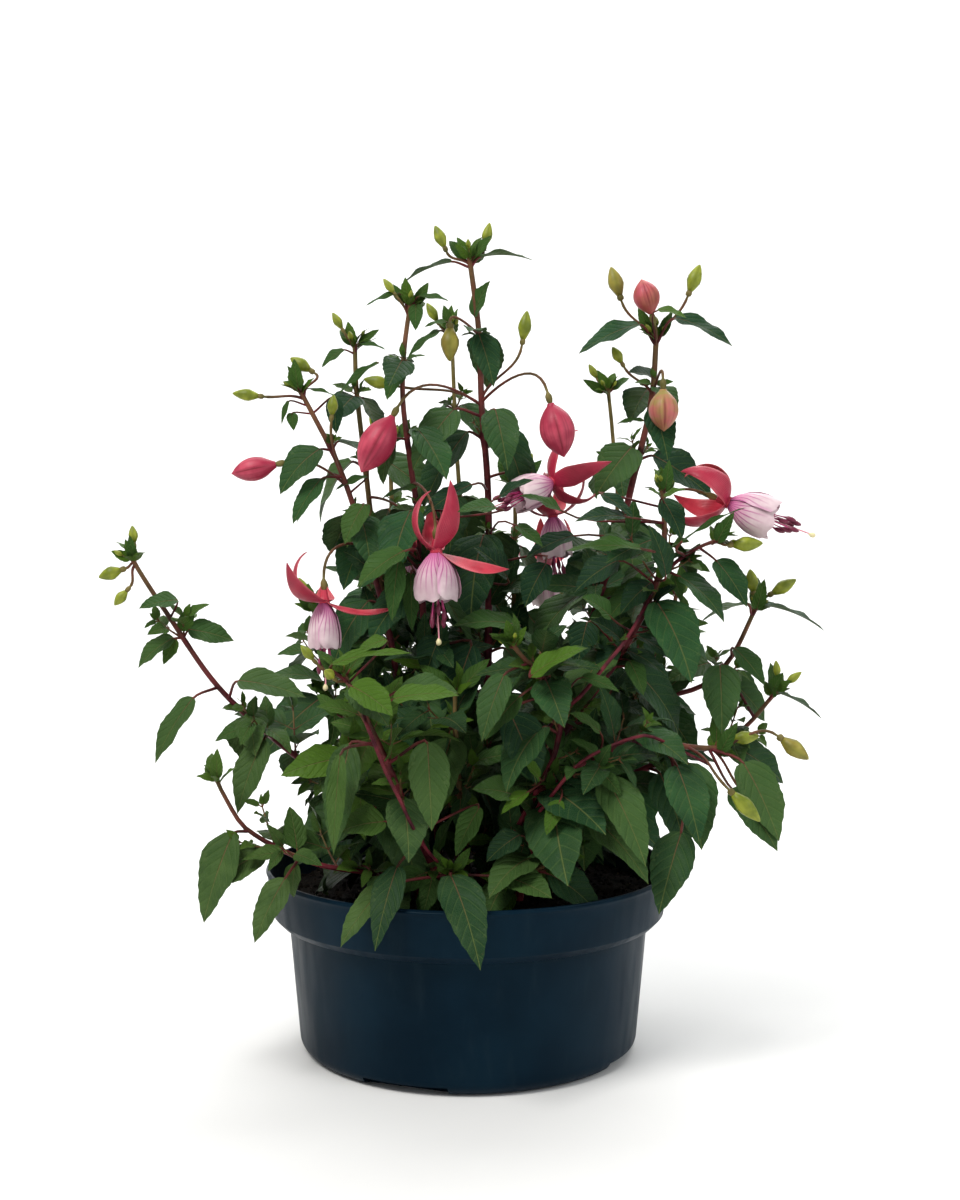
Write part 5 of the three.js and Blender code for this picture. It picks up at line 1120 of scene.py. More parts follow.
def fill_heart(plant, curve):
    """Short leafy shoots along the lower part of a stem, which make the plant dense inside."""
    for i in range(int(curve.length / HEART["spacing"])):
        share = (i + chance.random()) * HEART["spacing"] / curve.length
        spot = curve.point(share)
        if not HEART["low"] < spot.z < HEART["high"] or hypot(spot.x, spot.y) > HEART["radius"]:
            continue
        tangent = curve.tangent(share)
        out = turned(square_to(tangent, curve.side), tangent, vary(0, 2 * pi))
        # Shoots in front, at the left and above 180 mm stand in the key light: their leaves get painted
        # light, brighter young greens and a light tone. The others get a dark tone, painted shade.
        lit = spot.y < -50 and spot.x < -10 and spot.z > 180
        youth = vary(0.3, 0.8) if lit else vary(0, 0.3)
        already = len(plant["leaves"])
        side_shoot(plant, spot, out + tangent * 0.5 + UP * 0.2, vary(*HEART["shoot"]),
                   vary(*HEART["leaf"]), 3, youth)
        for leaf in plant["leaves"][already:]:
            leaf["tone"] = 0.45 if lit else vary(0.75, 1.0)


# Wine-red branches that arch in front of the leaves: thickness, then the points they pass.
ARCHES = {
    "stem_right_flower": (1.6, [
        (36, -50, 205), (43, -72, 216), (59, -92, 239), (72, -92, 251), (86, -84, 267), (100, -76, 283),
        (112, -66, 301), (119, -52, 313)]),
    "stem_right_low": (1.3, [
        (36, -72, 160), (45, -92, 176), (60, -106, 199), (71, -108, 211), (85, -108, 219),
        (101, -106, 225), (113, -100, 226), (134, -86, 215), (155, -72, 203)]),
    "stem_front_left": (1.35, [
        (-64, -132, 254), (-60, -152, 243), (-54, -160, 230), (-48, -152, 212), (-40, -145, 194),
        (-33, -139, 177), (-24, -122, 158), (-12, -92, 138)]),
}
print("arching branches:", len(ARCHES))

# %% Side shoots and tips
# Above this height the plant is open, and the shoots in the leaf angles are short.
OPEN_ABOVE, BARE_ANGLES, BUDS_ABOVE = 330, 0.12, 260


def angle_shoots(plant, shoot, curve, joint):
    """The young growth in the two leaf angles of a joint."""
    share = joint_share(shoot, curve, joint)
    spot, tangent = curve.point(share), curve.tangent(share)
    across = square_to(tangent, curve.side)
    high = spot.z > OPEN_ABOVE
    for side in (0, 180):
        out = turned(across, tangent, radians(shoot["turn"] + 90 * joint + side))
        if joint == 0:
            heading = out * 0.5 + tangent * 1.3 + UP * 0.3
            young_leaf(plant, spot, heading, vary(13, 19), 0.8)
        elif chance.random() >= BARE_ANGLES:
            reach = vary(4, 12) if high else vary(8, 24)
            leaf = vary(9, 17) if high else vary(13, 26)
            side_shoot(plant, spot, out + tangent * 1.3 + UP * 0.3, reach, leaf,
                       2 if high else chance.choice((2, 2, 3)), vary(0.35, 0.85))


def tip_cluster(plant, shoot, curve):
    """The youngest leaves at the tip of a shoot, with tiny buds on the taller ones."""
    tip = curve.point(1)
    tangent = (curve.tangent(1) + UP * 0.6).normalized()
    across = square_to(tangent, curve.side)
    for i in range(6):
        out = turned(across, tangent, radians(shoot["turn"] + 90 + 61 * i))
        young_leaf(plant, tip - tangent * (0.8 * i), out * (0.3 + 0.2 * i) + tangent,
                   vary(7, 11) + 1.2 * i, 0.95)
    for i in range(3 if tip.z > BUDS_ABOVE else 0):
        out = turned(across, tangent, radians(shoot["turn"] + 30 + 120 * i))
        tiny_bud(plant, tip - tangent * 2, (out * vary(0.4, 1) + tangent).normalized())


for plant in PLANTS:
    if plant["name"] in ARCHES:
        radius, path = ARCHES[plant["name"]]
        arch = GrowthCurve(path, False)
        plant["lines"].append([(arch.point(f), radius * (1 - 0.3 * f), 1.0) for f in evenly(24)])
    for shoot, curve in plant["shoots"]:
        fill_heart(plant, curve)
        for joint in range(shoot["pairs"]):
            angle_shoots(plant, shoot, curve, joint)
        tip_cluster(plant, shoot, curve)
print("leaves in all:", sum(len(plant["leaves"]) for plant in PLANTS))

# %% [markdown]
# ## Leaf blades
# A blade is a thin closed skin: an upper face, a lower face with the midrib standing proud of it, and a
# toothed edge between them. Its outline is a template that lies flat. The tree puts the template on
# every leaf point, realizes it, and then works out where each vertex goes from the numbers that the
# leaf carries: its direction, length, width and how far the midrib bends. One template gives hundreds
# of blades, and no two are alike.


# %% Blade templates
def blade_template(name, stations, inner, tooth):
    """A flat toothed blade. `spot` holds each vertex as share along, share across and face."""
    upper = [-1, *([-inner] if inner else []), 0, *([inner] if inner else []), 1]
    lower = [*([inner] if inner else []), 0, *([-inner] if inner else [])]
    spots = [(0.0, 0.0, 0.0)]
    rings = []
    for i in range(1, stations):
        t = (i / stations) ** 1.15
        width = blade_width(t) * (1 - 0.16 * t**3)
        ring = []
        for column in upper:
            edge = abs(column) == 1
            deep = 1 - tooth * (i % 2) if edge else 1
            ring.append((min(0.985, t + (0.012 if edge and i % 2 == 0 else 0)), column * width * deep,
                         0.0 if edge else 1.0))
        ring += [(t, column * width, -1.0 if column else -3.2 * (1 - t) - 1) for column in lower]
        rings.append(range(len(spots), len(spots) + len(ring)))
        spots += ring
    spots.append((1.0, 0.0, 0.0))
    size = len(rings[0])
    faces = [(0, rings[0][j], rings[0][(j + 1) % size]) for j in range(size)]
    for a, b in zip(rings, rings[1:]):
        faces += [(a[j], b[j], b[(j + 1) % size], a[(j + 1) % size]) for j in range(size)]
    faces += [(rings[-1][j], len(spots) - 1, rings[-1][(j + 1) % size]) for j in range(size)]
    mesh = plain_mesh(name, [(t, -y * 0.3, z * 0.004) for t, y, z in spots], (), faces)
    mark(mesh, spot=spots, under=[1.0 if z < 0 else 0.0 for _, _, z in spots])
    uv = mesh.uv_layers.new(name="blade")
    for loop in mesh.loops:
        t, y, _ = spots[loop.vertex_index]
        uv.data[loop.index].uv = (0.5 + 0.3 * y, t)
    sharp = [spots[edge.vertices[0]][2] == 0 == spots[edge.vertices[1]][2] for edge in mesh.edges]
    mesh.attributes.new("sharp_edge", "BOOLEAN", "EDGE").data.foreach_set("value", sharp)
    outward = sum(face.normal.z * (1 if face.center.z > 0 else -1) for face in mesh.polygons)
    if outward < 0:
        mesh.flip_normals()
    print(name, "faces:", len(faces))
    return bpy.data.objects.new(name, mesh)


BROAD_BLADE = blade_template("broad_blade", 18, 0.52, 0.04)
YOUNG_BLADE = blade_template("young_blade", 9, None, 0.08)

# %% Tree for blades
BLADE, inward = shape_tree("blades", Template=("Object", None), Fold=("Float", 0.24),
                           Wave=("Float", 0.034), Thickness=("Float", 0.0042))
form = add(BLADE, "GeometryNodeObjectInfo", {"Object": inward["Template"]})
spread = add(BLADE, "GeometryNodeInstanceOnPoints",
             {"Points": inward["Geometry"], "Instance": form.outputs["Geometry"]})
real = add(BLADE, "GeometryNodeRealizeInstances", {"Geometry": spread.outputs[0]})
base, ahead, face = (named(BLADE, name, "FLOAT_VECTOR") for name in ("base", "ahead", "face"))
t, y, z = named(BLADE, "spot", "FLOAT_VECTOR").split()
length, half, curl = named(BLADE, "measure", "FLOAT_VECTOR").split()
phase = named(BLADE, "phase")
angle = t * curl
sine, cosine = angle.work("SINE"), angle.work("COSINE")
reach = length.work("DIVIDE", curl)
normal = face * cosine + ahead * sine
wide = y.work("ABSOLUTE")
folded = wide * half * Field(BLADE, inward["Fold"]) * (wide * -0.32 + 1.2)
waved = wide * length * Field(BLADE, inward["Wave"]) * (t * 11.0 + y * 2.5 + phase).work("SINE")
lift = folded + waved + z * length * Field(BLADE, inward["Thickness"])
place = base + ahead * (reach * sine) + face * (reach * (cosine - 1.0))
place = place + ahead.cross(face) * (y * half) + normal * lift
shaped = add(BLADE, "GeometryNodeSetPosition", {"Geometry": real.outputs[0], "Position": place})
close_tree(BLADE, shaped.outputs[0], inward["Material"])
print("blade nodes:", len(BLADE.nodes))


# %% Light and age of each leaf
# Older leaves at the left, low and in front are warmer and lighter: partly their own colour, partly
# painted light on the side where the key light falls. Outer leaves also get a lighter tone, painted
# light. A few of the low ones are dry. Places are in millimetres.
DRY, DRY_SHARE = (0.5, 0.68), 0.06


def leaf_marks(leaf):
    """All that the tree and the finish read from a leaf."""
    x, y, z = leaf["base"]
    phase, tone = vary(0, 6.3), leaf.get("tone", vary(0, 1))
    outer = fade(abs(x), 70, 130) * (1.0 if x < 0 else 0.3)
    low = fade(z, 330, 170)
    front = fade(y, 20, -90) * max(0.3, fade(x, 70, -40))
    warmth_and_painted_light = min(1.0, 0.12 + 0.8 * low * max(front, 0.7 * outer) + vary(-0.1, 0.2))
    youth = leaf.get("youth", 0.75 * fade(leaf["length"], 40, 0)) * vary(0.75, 1.0)
    dry = vary(*DRY) if chance.random() < DRY_SHARE and low > 0.5 else 0.0
    return dict(base=leaf["base"] * MM, ahead=leaf["along"], face=leaf["face"],
                measure=(leaf["length"] * MM, leaf["half"] * MM, leaf["curl"]), phase=phase,
                youth=youth, warmth_and_painted_light=warmth_and_painted_light, dry=dry, tone=tone * (1 - 0.6 * outer))


def blades_mesh(name, leaves):
    rows = [leaf_marks(leaf) for leaf in leaves]
    marks = {label: [row[label] for row in rows] for label in rows[0]}
    return mark(plain_mesh(name, marks["base"]), **marks)


print("leaves to colour:", sum(len(plant["leaves"]) for plant in PLANTS))


# %% Grow the blades, the stems and the stalks
for plant in PLANTS:
    node = plant["name"]
    for label, young, template in (("leaves", False, BROAD_BLADE), ("young_leaves", True, YOUNG_BLADE)):
        leaves = [leaf for leaf in plant["leaves"] if leaf.get("young", False) == young]
        if not leaves:
            continue
        piece = grow(f"{node}_{label}", blades_mesh("leaf_points", leaves), BLADE,
                     Template=template, Material=LEAF_FINISH)
        settle(piece, "foliage", node)
    wood = grow(f"{node}_wood", lines_mesh("wood_lines", plant["lines"]), STRAND, Material=STEM_FINISH)
    settle(wood, "foliage", node)
print("faces of leaves and wood:", sum(FACES.values()))

# %% [markdown]
# ## Green buds
# A closed bud is a drop with four seams, where its sepals meet edge to edge. All the green ones are
# the same form in different sizes, so the tree sets one template on a point for each bud, turns it
# along the bud's own axis and stretches it to the bud's radius and length.

# %% Bud template and its tree
# Shares of the length and of the radius.
BUD_PROFILE = [(0.0, 0.4), (0.14, 0.66), (0.34, 0.98), (0.5, 0.97), (0.7, 0.74), (0.87, 0.42),
               (0.95, 0.22)]
SEAM_DEPTH = 0.1


def turned_faces(rings, sides):
    """Faces of a closed turned body: a foot point, rings of points and an end point."""
    faces = [(0, 1 + (k + 1) % sides, 1 + k) for k in range(sides)]
    for ring in range(rings - 1):
        a = 1 + ring * sides
        b = a + sides
        faces += [(a + k, a + (k + 1) % sides, b + (k + 1) % sides, b + k) for k in range(sides)]
    last = 1 + (rings - 1) * sides
    return faces + [(last + k, last + (k + 1) % sides, last + sides) for k in range(sides)]


def bud_template(name, profile, sides):
    points, seams = [(0.0, 0.0, 0.0)], [0.0]
    for share, radius in profile:
        for k in range(sides):
            angle = 2 * pi * k / sides
            seam = 1.0 - k % 2
            pressed = radius * (1 - SEAM_DEPTH * seam)
            points.append(polar(angle, pressed, share))
            seams.append(seam)
    points.append((0.0, 0.0, 1.0))
    seams.append(0.5)
    mesh = mark(plain_mesh(name, points, (), turned_faces(len(profile), sides)), seam=seams)
    print(name, "faces:", len(mesh.polygons))
    return bpy.data.objects.new(name, mesh)


BUD_FORM = bud_template("bud_form", BUD_PROFILE, 8)
BUDS, inward = shape_tree("buds", Template=("Object", None))
form = add(BUDS, "GeometryNodeObjectInfo", {"Object": inward["Template"]})
aim = add(BUDS, "FunctionNodeAlignRotationToVector", {"Vector": named(BUDS, "aim", "FLOAT_VECTOR")})
aim.axis = "Z"
spread = add(BUDS, "GeometryNodeInstanceOnPoints", {
    "Points": inward["Geometry"], "Instance": form.outputs["Geometry"], "Rotation": aim.outputs[0],
    "Scale": named(BUDS, "size", "FLOAT_VECTOR"),
})
close_tree(BUDS, spread.outputs[0], inward["Material"])

for plant in PLANTS:
    if not plant["buds"]:
        continue
    feet, aims, radii, lengths, flush = zip(*plant["buds"])
    sizes = [Vector((r, r, length)) * MM for r, length in zip(radii, lengths)]
    seeds = plain_mesh("bud_points", [foot * MM for foot in feet])
    mark(seeds, aim=aims, flush=flush, size=sizes)
    piece = grow(plant["name"] + "_green_buds", seeds, BUDS, Template=BUD_FORM,
                 Material=GREEN_BUD_FINISH)
    settle(piece, "foliage", plant["name"])
print("green buds:", sum(len(plant["buds"]) for plant in PLANTS))

# %% [markdown]
# ## Skins
# Sepals and petals are thin sheets that bend two ways. Each is worked out as a grid of points on its
# middle surface with the direction it faces, and `grid_skin` gives it two faces and closes its edge.
# Writing the grid out point by point, not with a tree, lets every sepal of a bloom curl by its own
# amount.


# %% Skins
def grid_skin(rows, normals, half):
    """Rows of middle points and normals become the points and faces of a closed thin sheet."""
    count, size = len(rows), len(rows[0])
    points, faces, where = [], [], []
    for way in (1, -1):
        for i in range(count):
            for j in range(size):
                thin = 0.25 if i in (0, count - 1) or j in (0, size - 1) else 1.0
                points.append(rows[i][j] + normals[i][j] * (way * half * thin))
                where.append((i / (count - 1), 2 * j / (size - 1) - 1, way))
    low = count * size
    for i in range(count - 1):
        for j in range(size - 1):
            a = i * size + j
            faces.append((a, a + 1, a + size + 1, a + size))
            faces.append((low + a, low + a + size, low + a + size + 1, low + a + 1))
    rim = [*range(size), *range(2 * size - 1, low, size), *range(low - 2, low - size - 1, -1),
           *range(low - 2 * size, 0, -size)]
    for a, b in zip(rim, rim[1:] + rim[:1]):
        faces.append((b, a, low + a, low + b))
    return points, faces, where


def closed_piece(name, put, parts, finish):
    """Joins sheets and bodies, laid in place by `put`. parts: (points, faces, where, uv width)."""
    points, faces, where, widths = [], [], [], []
    for part_points, part_faces, part_where, width in parts:
        start = len(points)
        points += [put(point) * MM for point in part_points]
        faces += [tuple(start + k for k in face) for face in part_faces]
        where += part_where
        widths += [width] * len(part_points)
    mesh = plain_mesh(name, points, (), faces)
    uv = mesh.uv_layers.new(name="blade")
    for loop in mesh.loops:
        along, across, _ = where[loop.vertex_index]
        uv.data[loop.index].uv = (0.5 + widths[loop.vertex_index] * across, along)
    mark(mesh, under=[1.0 if way > 0 else 0.0 for _, _, way in where])
    outwards(mesh)
    dress(mesh, finish, 62)
    return shown(name, mesh)


def outwards(mesh):
    """Turns the faces of a closed mesh outwards."""
    shell = bmesh.new()
    shell.from_mesh(mesh)
    bmesh.ops.recalc_face_normals(shell, faces=shell.faces)
    shell.to_mesh(mesh)
    shell.free()


print("skin helpers are ready")


# %% The frame of a flower, and turned bodies
def flower_frame(seat, axis):
    """Lays a point of a flower, made along +Z, in its place on the plant."""
    across = square_to(axis, RIGHT)
    over = axis.cross(across)
    return lambda point: seat + across * point.x + over * point.y + axis * point.z


def turned_body(profile, sides, lobe=0.0):
    """A closed body turned about Z, from (height, radius) pairs, with four soft lobes."""
    points = [Vector((0, 0, profile[0][0]))]
    where = [(0.0, 0.0, -1)]
    for height, radius in profile:
        for k in range(sides):
            angle = 2 * pi * k / sides
            r = radius * (1 - lobe * abs(cos(2 * angle)) ** 6)
            points.append(polar(angle, r, height))
            where.append((0.02, 2 * k / sides - 1, -1))
    points.append(Vector((0, 0, profile[-1][0])))
    where.append((0.02, 0.0, -1))
    return points, turned_faces(len(profile), sides), where


print("flowers to dress:", len(BLOOMS) + len(PINK_BUDS))

# %% [markdown]
# ## Sepals
# A fuchsia bloom hangs from a short pink tube that opens into four narrow pointed sepals. They spread
# and curl back towards the stalk as the bloom ages, and their edges roll a little. The midline of each
# is an arc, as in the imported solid, and the width tapers along it.


# %% Sepals and tube
# How far each sepal turns about its own midline on the way to its tip, in radians.
TWISTS = {"bloom_front": (0.3, -0.4, 0.9, 0.3), "bloom_left": (0.2, 0.3, 0.4, -0.3)}
USUAL_TWISTS = (0.3, -0.3, 0.3, -0.3)
# In millimetres, for a bloom of size 1: a sepal, and the tube as (height, radius) pairs.
SEPAL = dict(length=50, half=8.7, root=7.4, thickness=0.84)
TUBE = [(0, 2.2), (1.2, 2.5), (4, 2.9), (6.5, 3.6), (8.4, 4.4), (9, 3.9)]


def sepal(size, azimuth, curl, lift, twist):
    rise = radians(lift)
    out = polar(radians(azimuth))
    along = out * cos(rise) + UP * sin(rise)
    face = UP * cos(rise) - out * sin(rise)
    across = along.cross(face)
    reach = SEPAL["length"] * size / curl
    rows, normals = [], []
    for f in evenly(22):
        t = 0.012 + 0.988 * f
        angle = curl * t
        centre = (UP * (SEPAL["root"] * size) + along * (reach * sin(angle))
                  + face * (reach * (cos(angle) - 1)))
        normal = face * cos(angle) + along * sin(angle)
        ahead = along * cos(angle) - face * sin(angle)
        spin = twist * t * (2 - t)
        sideways, facing = turned(across, ahead, spin), turned(normal, ahead, spin)
        half = SEPAL["half"] * size * min(1.0, 0.45 + 1.6 * t) * max(0.01, 1 - t * t) ** 0.9
        row, directions = [], []
        for j in range(9):
            u = j / 4 - 1
            droop = -(0.16 + 0.3 * t * t) * half * abs(u) ** 1.7
            ripple = 0.25 * size * sin(11 * t + 2 * azimuth) * u * abs(u)
            row.append(centre + sideways * (u * half) + facing * (droop + ripple))
            directions.append((facing + sideways * (0.45 * u)).normalized())
        rows.append(row)
        normals.append(directions)
    return (*grid_skin(rows, normals, SEPAL["thickness"] / 2 * size), 0.14)


for flower, seat, axis in BLOOMS:
    size = flower["size"]
    tube = turned_body([(height * size, radius * size) for height, radius in TUBE], 20, 0.08)
    twists = TWISTS.get(flower["name"], USUAL_TWISTS)
    parts = [(*tube, 0.1), *(sepal(size, *numbers, twist)
                             for numbers, twist in zip(flower["sepals"], twists))]
    piece = closed_piece(flower["name"] + "_calyx", flower_frame(seat, axis), parts, SEPAL_FINISH)
    settle(piece, "sepal", flower["name"] + "_sepals")
print("sepals:", sum(len(flower["sepals"]) for flower, _, _ in BLOOMS))

# %% [markdown]
# ## Corolla
# Inside the sepals hangs the bell of petals. It is a full one: four broad outer petals that overlap
# like roof tiles, each a little outside its neighbour on one side, and four inner ones behind the
# gaps. The rims are shallowly scalloped. All are sheets bent round the bloom's axis.


# %% Petals
# The bell as shares of its length and of its radius. The petals begin a little inside the tube.
BELL = ((-0.05, 0.0, 0.1, 0.3, 0.5, 0.68, 0.85, 1.0), (0.2, 0.29, 0.5, 0.79, 0.93, 0.97, 0.94, 0.87))
CORNER_DROP = 0.17
# In millimetres, for a bloom of size 1.
PETAL = dict(radius=14, root=9.3, length=31, half=0.3)


def petal(flower, azimuth, layer, span):
    size = flower["size"]
    radius = PETAL["radius"] * flower["open"] * layer
    phase = vary(0, 6.3)
    rows, normals = [], []
    for i in range(15):
        row, directions = [], []
        for j in range(13):
            s = j / 6 - 1
            top = 0.985 if layer == 1 else 0.95
            top = top - CORNER_DROP * abs(s) ** 3 + 0.03 * sin(6 * s + phase)
            t = BELL[0][0] + (top - BELL[0][0]) * i / 14
            spread = 0.72 + 0.28 * min(1.0, 2 * t + 0.1)
            angle = radians(azimuth) + s * radians(span) * spread
            r = radius * float(np.interp(t, *BELL)) * (1 + 0.1 * s)
            r += 0.8 * sin(5 * s + phase) * max(0.0, t - 0.45) * 2
            out = polar(angle)
            row.append((out * r + UP * (PETAL["root"] + PETAL["length"] * t)) * size)
            directions.append(out)
        rows.append(row)
        normals.append(directions)
    return (*grid_skin(rows, normals, PETAL["half"]), 0.42)


for flower, seat, axis in BLOOMS:
    parts = [petal(flower, flower["petal_turn"] + 90 * k + turn, layer, span)
             for k in range(4) for turn, layer, span in ((0, 1, 58), (45, 0.8, 52))]
    piece = closed_piece(flower["name"] + "_petals", flower_frame(seat, axis), parts, PETAL_FINISH)
    settle(piece, "petal", flower["name"] + "_corolla")
print("petals:", 8 * len(BLOOMS))

# %% [markdown]
# ## Stamens and style
# Eight magenta filaments hang out of the bell with dark anthers at their ends, and the style hangs
# further still, with a cream stigma. They are lines with swollen ends, so the tree of the stems makes
# them too.

# %% Stamens
# How deep the filaments begin, then the ends as (height, radius) pairs. The heights of an anther are
# measured from its own tip.
ROOT = 11
MARKS = ("anther", "style", "stigma")
ANTHER = ((-7, 0.8), (-5.6, 1.5), (-3, 1.7), (-0.9, 1.1), (0, 0.3))
STIGMA = ((64, 1.0), (65, 1.7), (66.5, 1.8), (67.5, 1.2), (68, 0.4))
for flower, seat, axis in BLOOMS:
    put = flower_frame(seat, axis)
    size = flower["size"]
    lines = []
    for i in range(8):
        out = polar(radians(45 * i + vary(-10, 10)))
        reach = 57 - 4 * (i % 3)
        spread = 3.4 + 1.6 * (i % 2)
        line = []
        for f in (0.0, 0.2, 0.4, 0.6, 0.8, 0.93):
            wide = 1.3 + (spread - 1.3) * f**1.6
            height = ROOT + (reach + ANTHER[0][0] - ROOT) * f
            line.append((put((out * wide + UP * height) * size), 0.42 * size, 0, 0, 0))
        for height, radius in ANTHER:
            line.append((put((out * spread + UP * (reach + height)) * size), radius * size, 1, 0, 0))
        lines.append(line)
    style = [(put(Vector((0.25 * sin(h / 9), 0, h)) * size), 0.5 * size, 0, 1, 0)
             for h in (ROOT, 20, 30, 40, 50, 58, 63)]
    style += [(put(Vector((0, 0, height)) * size), radius * size, 0, 1, 1) for height, radius in STIGMA]
    lines.append(style)
    piece = grow(flower["name"] + "_filaments", lines_mesh("filament_lines", lines, MARKS), STRAND,
                 Material=STAMEN_FINISH)
    settle(piece, "stamen", flower["name"] + "_stamens")
print("filaments:", 8 * len(BLOOMS))

# %% [markdown]
# ## Pink buds
# The largest closed buds are near to opening. They are turned bodies with four seams pressed in, drawn
# out to a point, on a narrow tube.


# %% Pink buds
# Two of them are still unripe, green and brown under the pink.
UNRIPE = {"bud_right_side": 0.85, "bud_top_right": 0.3}
BUD_SIDES, BUD_RINGS, BUD_SEAM = 72, 28, 0.05


def eased(knots, count):
    """Points of a smooth line through knots of (height, radius)."""
    curve = GrowthCurve([(height, 0, radius) for height, radius in knots], False)
    return [(point.x, max(0.05, point.z)) for point in map(curve.point, evenly(count))]


for flower, seat, axis in PINK_BUDS:
    length, radius = flower["length"], flower["radius"]
    shares = [(0, 2.1), (0.04, 2.7), (0.12, 0.5 * radius), (0.28, 0.85 * radius), (0.5, radius),
              (0.7, 0.85 * radius), (0.87, 0.48 * radius), (0.96, 0.16 * radius), (1, 0.02 * radius)]
    profile = eased([(share * length, r) for share, r in shares], BUD_RINGS)
    veins = [chance.random() ** 3 for _ in range(BUD_SIDES)]
    points, faces, where = turned_body(profile, BUD_SIDES)
    marks = dict(seam=[], rise=[], streak=[], flush=[UNRIPE.get(flower["name"], 0.0)] * len(points))
    for number, point in enumerate(points):
        angle = atan2(point.y, point.x)
        share = point.z / length
        ends = fade(share, 0.12, 0.37) * fade(share, 0.97, 0.845)
        depth = abs(cos(2 * angle)) ** 60 * ends
        marks["seam"].append(depth)
        marks["rise"].append(share)
        marks["streak"].append(veins[(number - 1) % BUD_SIDES] * ends)
        pressed = 1 - BUD_SEAM * depth
        points[number] = Vector((point.x * pressed, point.y * pressed, point.z))
    piece = closed_piece(flower["name"] + "_petal_case", flower_frame(seat, axis),
                         [(points, faces, where, 0.3)], PINK_BUD_FINISH)
    mark(piece.data, **marks)
    settle(piece, "sepal", flower["name"])
print("pink buds:", len(PINK_BUDS))

# %% [markdown]
# ## Pot
# A moulded nursery pot is a thin shell turned about its axis, so its section is drawn once and spun.
# Drainage notches at the foot and holes in the base are cut afterwards. The section is rounded at the
# lip, the step and the collar, because a moulded edge always catches a thin line of light.

# %% Spun bodies
# Steps round the pot and round the soil.
POT_TURNS, SOIL_TURNS = 168, 132


def spun(name, section, sides=POT_TURNS):
    """A closed body spun about Z from (radius, height) pairs that start and end on the axis."""
    points = [Vector((0, 0, section[0][1]))]
    for radius, height in section[1:-1]:
        points += [polar(2 * pi * (k + 0.5) / sides, radius, height) for k in range(sides)]
    points.append(Vector((0, 0, section[-1][1])))
    mesh = plain_mesh(name, [point * MM for point in points], (), turned_faces(len(section) - 2, sides))
    outwards(mesh)
    return shown(name, mesh)


def corner(centre, radius, start, end, steps):
    """Points of a rounded corner of a section, from one angle to another in degrees."""
    angles = [radians(start + (end - start) * i / steps) for i in range(steps + 1)]
    return [(centre[0] + radius * cos(a), centre[1] + radius * sin(a)) for a in angles]


print("steps round the pot:", POT_TURNS)


# %% Notches, holes and cuts
def columns(name, outlines, depth):
    """Closed columns for cutting, each from an outline of (x, y) points and as deep below as above."""
    points, faces = [], []
    for outline in outlines:
        start, count = len(points), len(outline)
        middle = start + count
        points += [Vector((x, y, z)) * MM for z in (-depth, depth) for x, y in outline]
        faces += [tuple(range(middle - 1, start - 1, -1)), tuple(range(middle, middle + count))]
        for i in range(count):
            a, b = start + i, start + (i + 1) % count
            faces.append((a, b, b + count, a + count))
    mesh = plain_mesh(name, points, (), faces)
    outwards(mesh)
    return shown(name, mesh)


def around(radius, turn, count=4):
    """Points spread evenly on a circle, each with the direction outwards and the one along it."""
    for k in range(count):
        angle = radians(turn + 360 / count * k)
        out = Vector((cos(angle), sin(angle)))
        yield out * radius, out, Vector((-out.y, out.x))


# The four notches at the foot of the wall and the four holes in the base: where the first one is, in
# degrees, then millimetres. The wall bends inwards over a notch, and the soil stays clear of it.
NOTCH = dict(turn=-111, inner=100, outer=125, width=58, height=6)
DRAIN = dict(turn=-66, circle=62, radius=4.5, sides=24, depth=5)
WALL, SOIL_GAP = 1.8, 0.3


def notches(name, cover=0.0):
    """The four notches for cutting, each grown by a cover of this thickness."""
    inner, outer, half = NOTCH["inner"] - cover, NOTCH["outer"], NOTCH["width"] / 2 + cover
    corners = ((inner, -half), (outer, -half), (outer, half), (inner, half))
    outlines = [[out * r + side * s for r, s in corners] for _, out, side in around(0, NOTCH["turn"])]
    return columns(name, outlines, NOTCH["height"] + cover)


def drain_holes():
    hole = [point for point, _, _ in around(DRAIN["radius"], 0, DRAIN["sides"])]
    outlines = [[centre + point for point in hole]
                for centre, _, _ in around(DRAIN["circle"], DRAIN["turn"])]
    return columns("drain_cutter", outlines, DRAIN["depth"])


def cut(piece, *cutters):
    """Cuts bodies out of a piece, and clears the cutters away."""
    for cutter in cutters:
        modifier = piece.modifiers.new("cut", "BOOLEAN")
        modifier.operation = "DIFFERENCE"
        modifier.solver = "EXACT"
        modifier.object = cutter
    shaped = piece.evaluated_get(bpy.context.evaluated_depsgraph_get())
    mesh = bpy.data.meshes.new_from_object(shaped)
    piece.modifiers.clear()
    piece.data = mesh
    for cutter in cutters:
        bpy.data.objects.remove(cutter)
    return piece


print("cutting helpers are ready")

# %% Pot
# Sections in (radius, height). The outside has its foot round, the step under the collar and the lip.
outside = [(0, 0), *corner((105, 10), 10, -90, 0, 8), (118.5, 49), (121.7, 86.4),
           *corner((123.4, 87.6), 1.4, 180, 90, 4)[1:], *corner((127.6, 90.4), 1.4, -90, -45, 3),
           *corner((131.4, 94.6), 1.6, -45, -8, 4), (133.9, 100), (136, 116), (136.4, 119.4),
           *corner((136.1, 121.8), 1.2, -40, 60, 5), *corner((135.9, 122.8), 1.1, 60, 110, 3), (0, 124)]
hollow = [(0, 2.4), *corner((105, 10.6), 8.2, -90, 0, 6), (116.7, 49), (120.2, 90.8), (127.1, 90.8),
          (131.2, 95.8), (134.2, 118), (134.6, 122.5), (135.0, 124.2), (135.0, 126), (0, 126)]
outer = spun("nursery_pot", outside)
inner = cut(spun("pot_hollow", hollow), notches("notch_cover", WALL))
pot = cut(outer, inner, notches("notch"), drain_holes())
dress(pot.data, POT_FINISH, 34)
settle(pot, "pot_plastic", "pot")
print("pot faces:", len(pot.data.polygons))

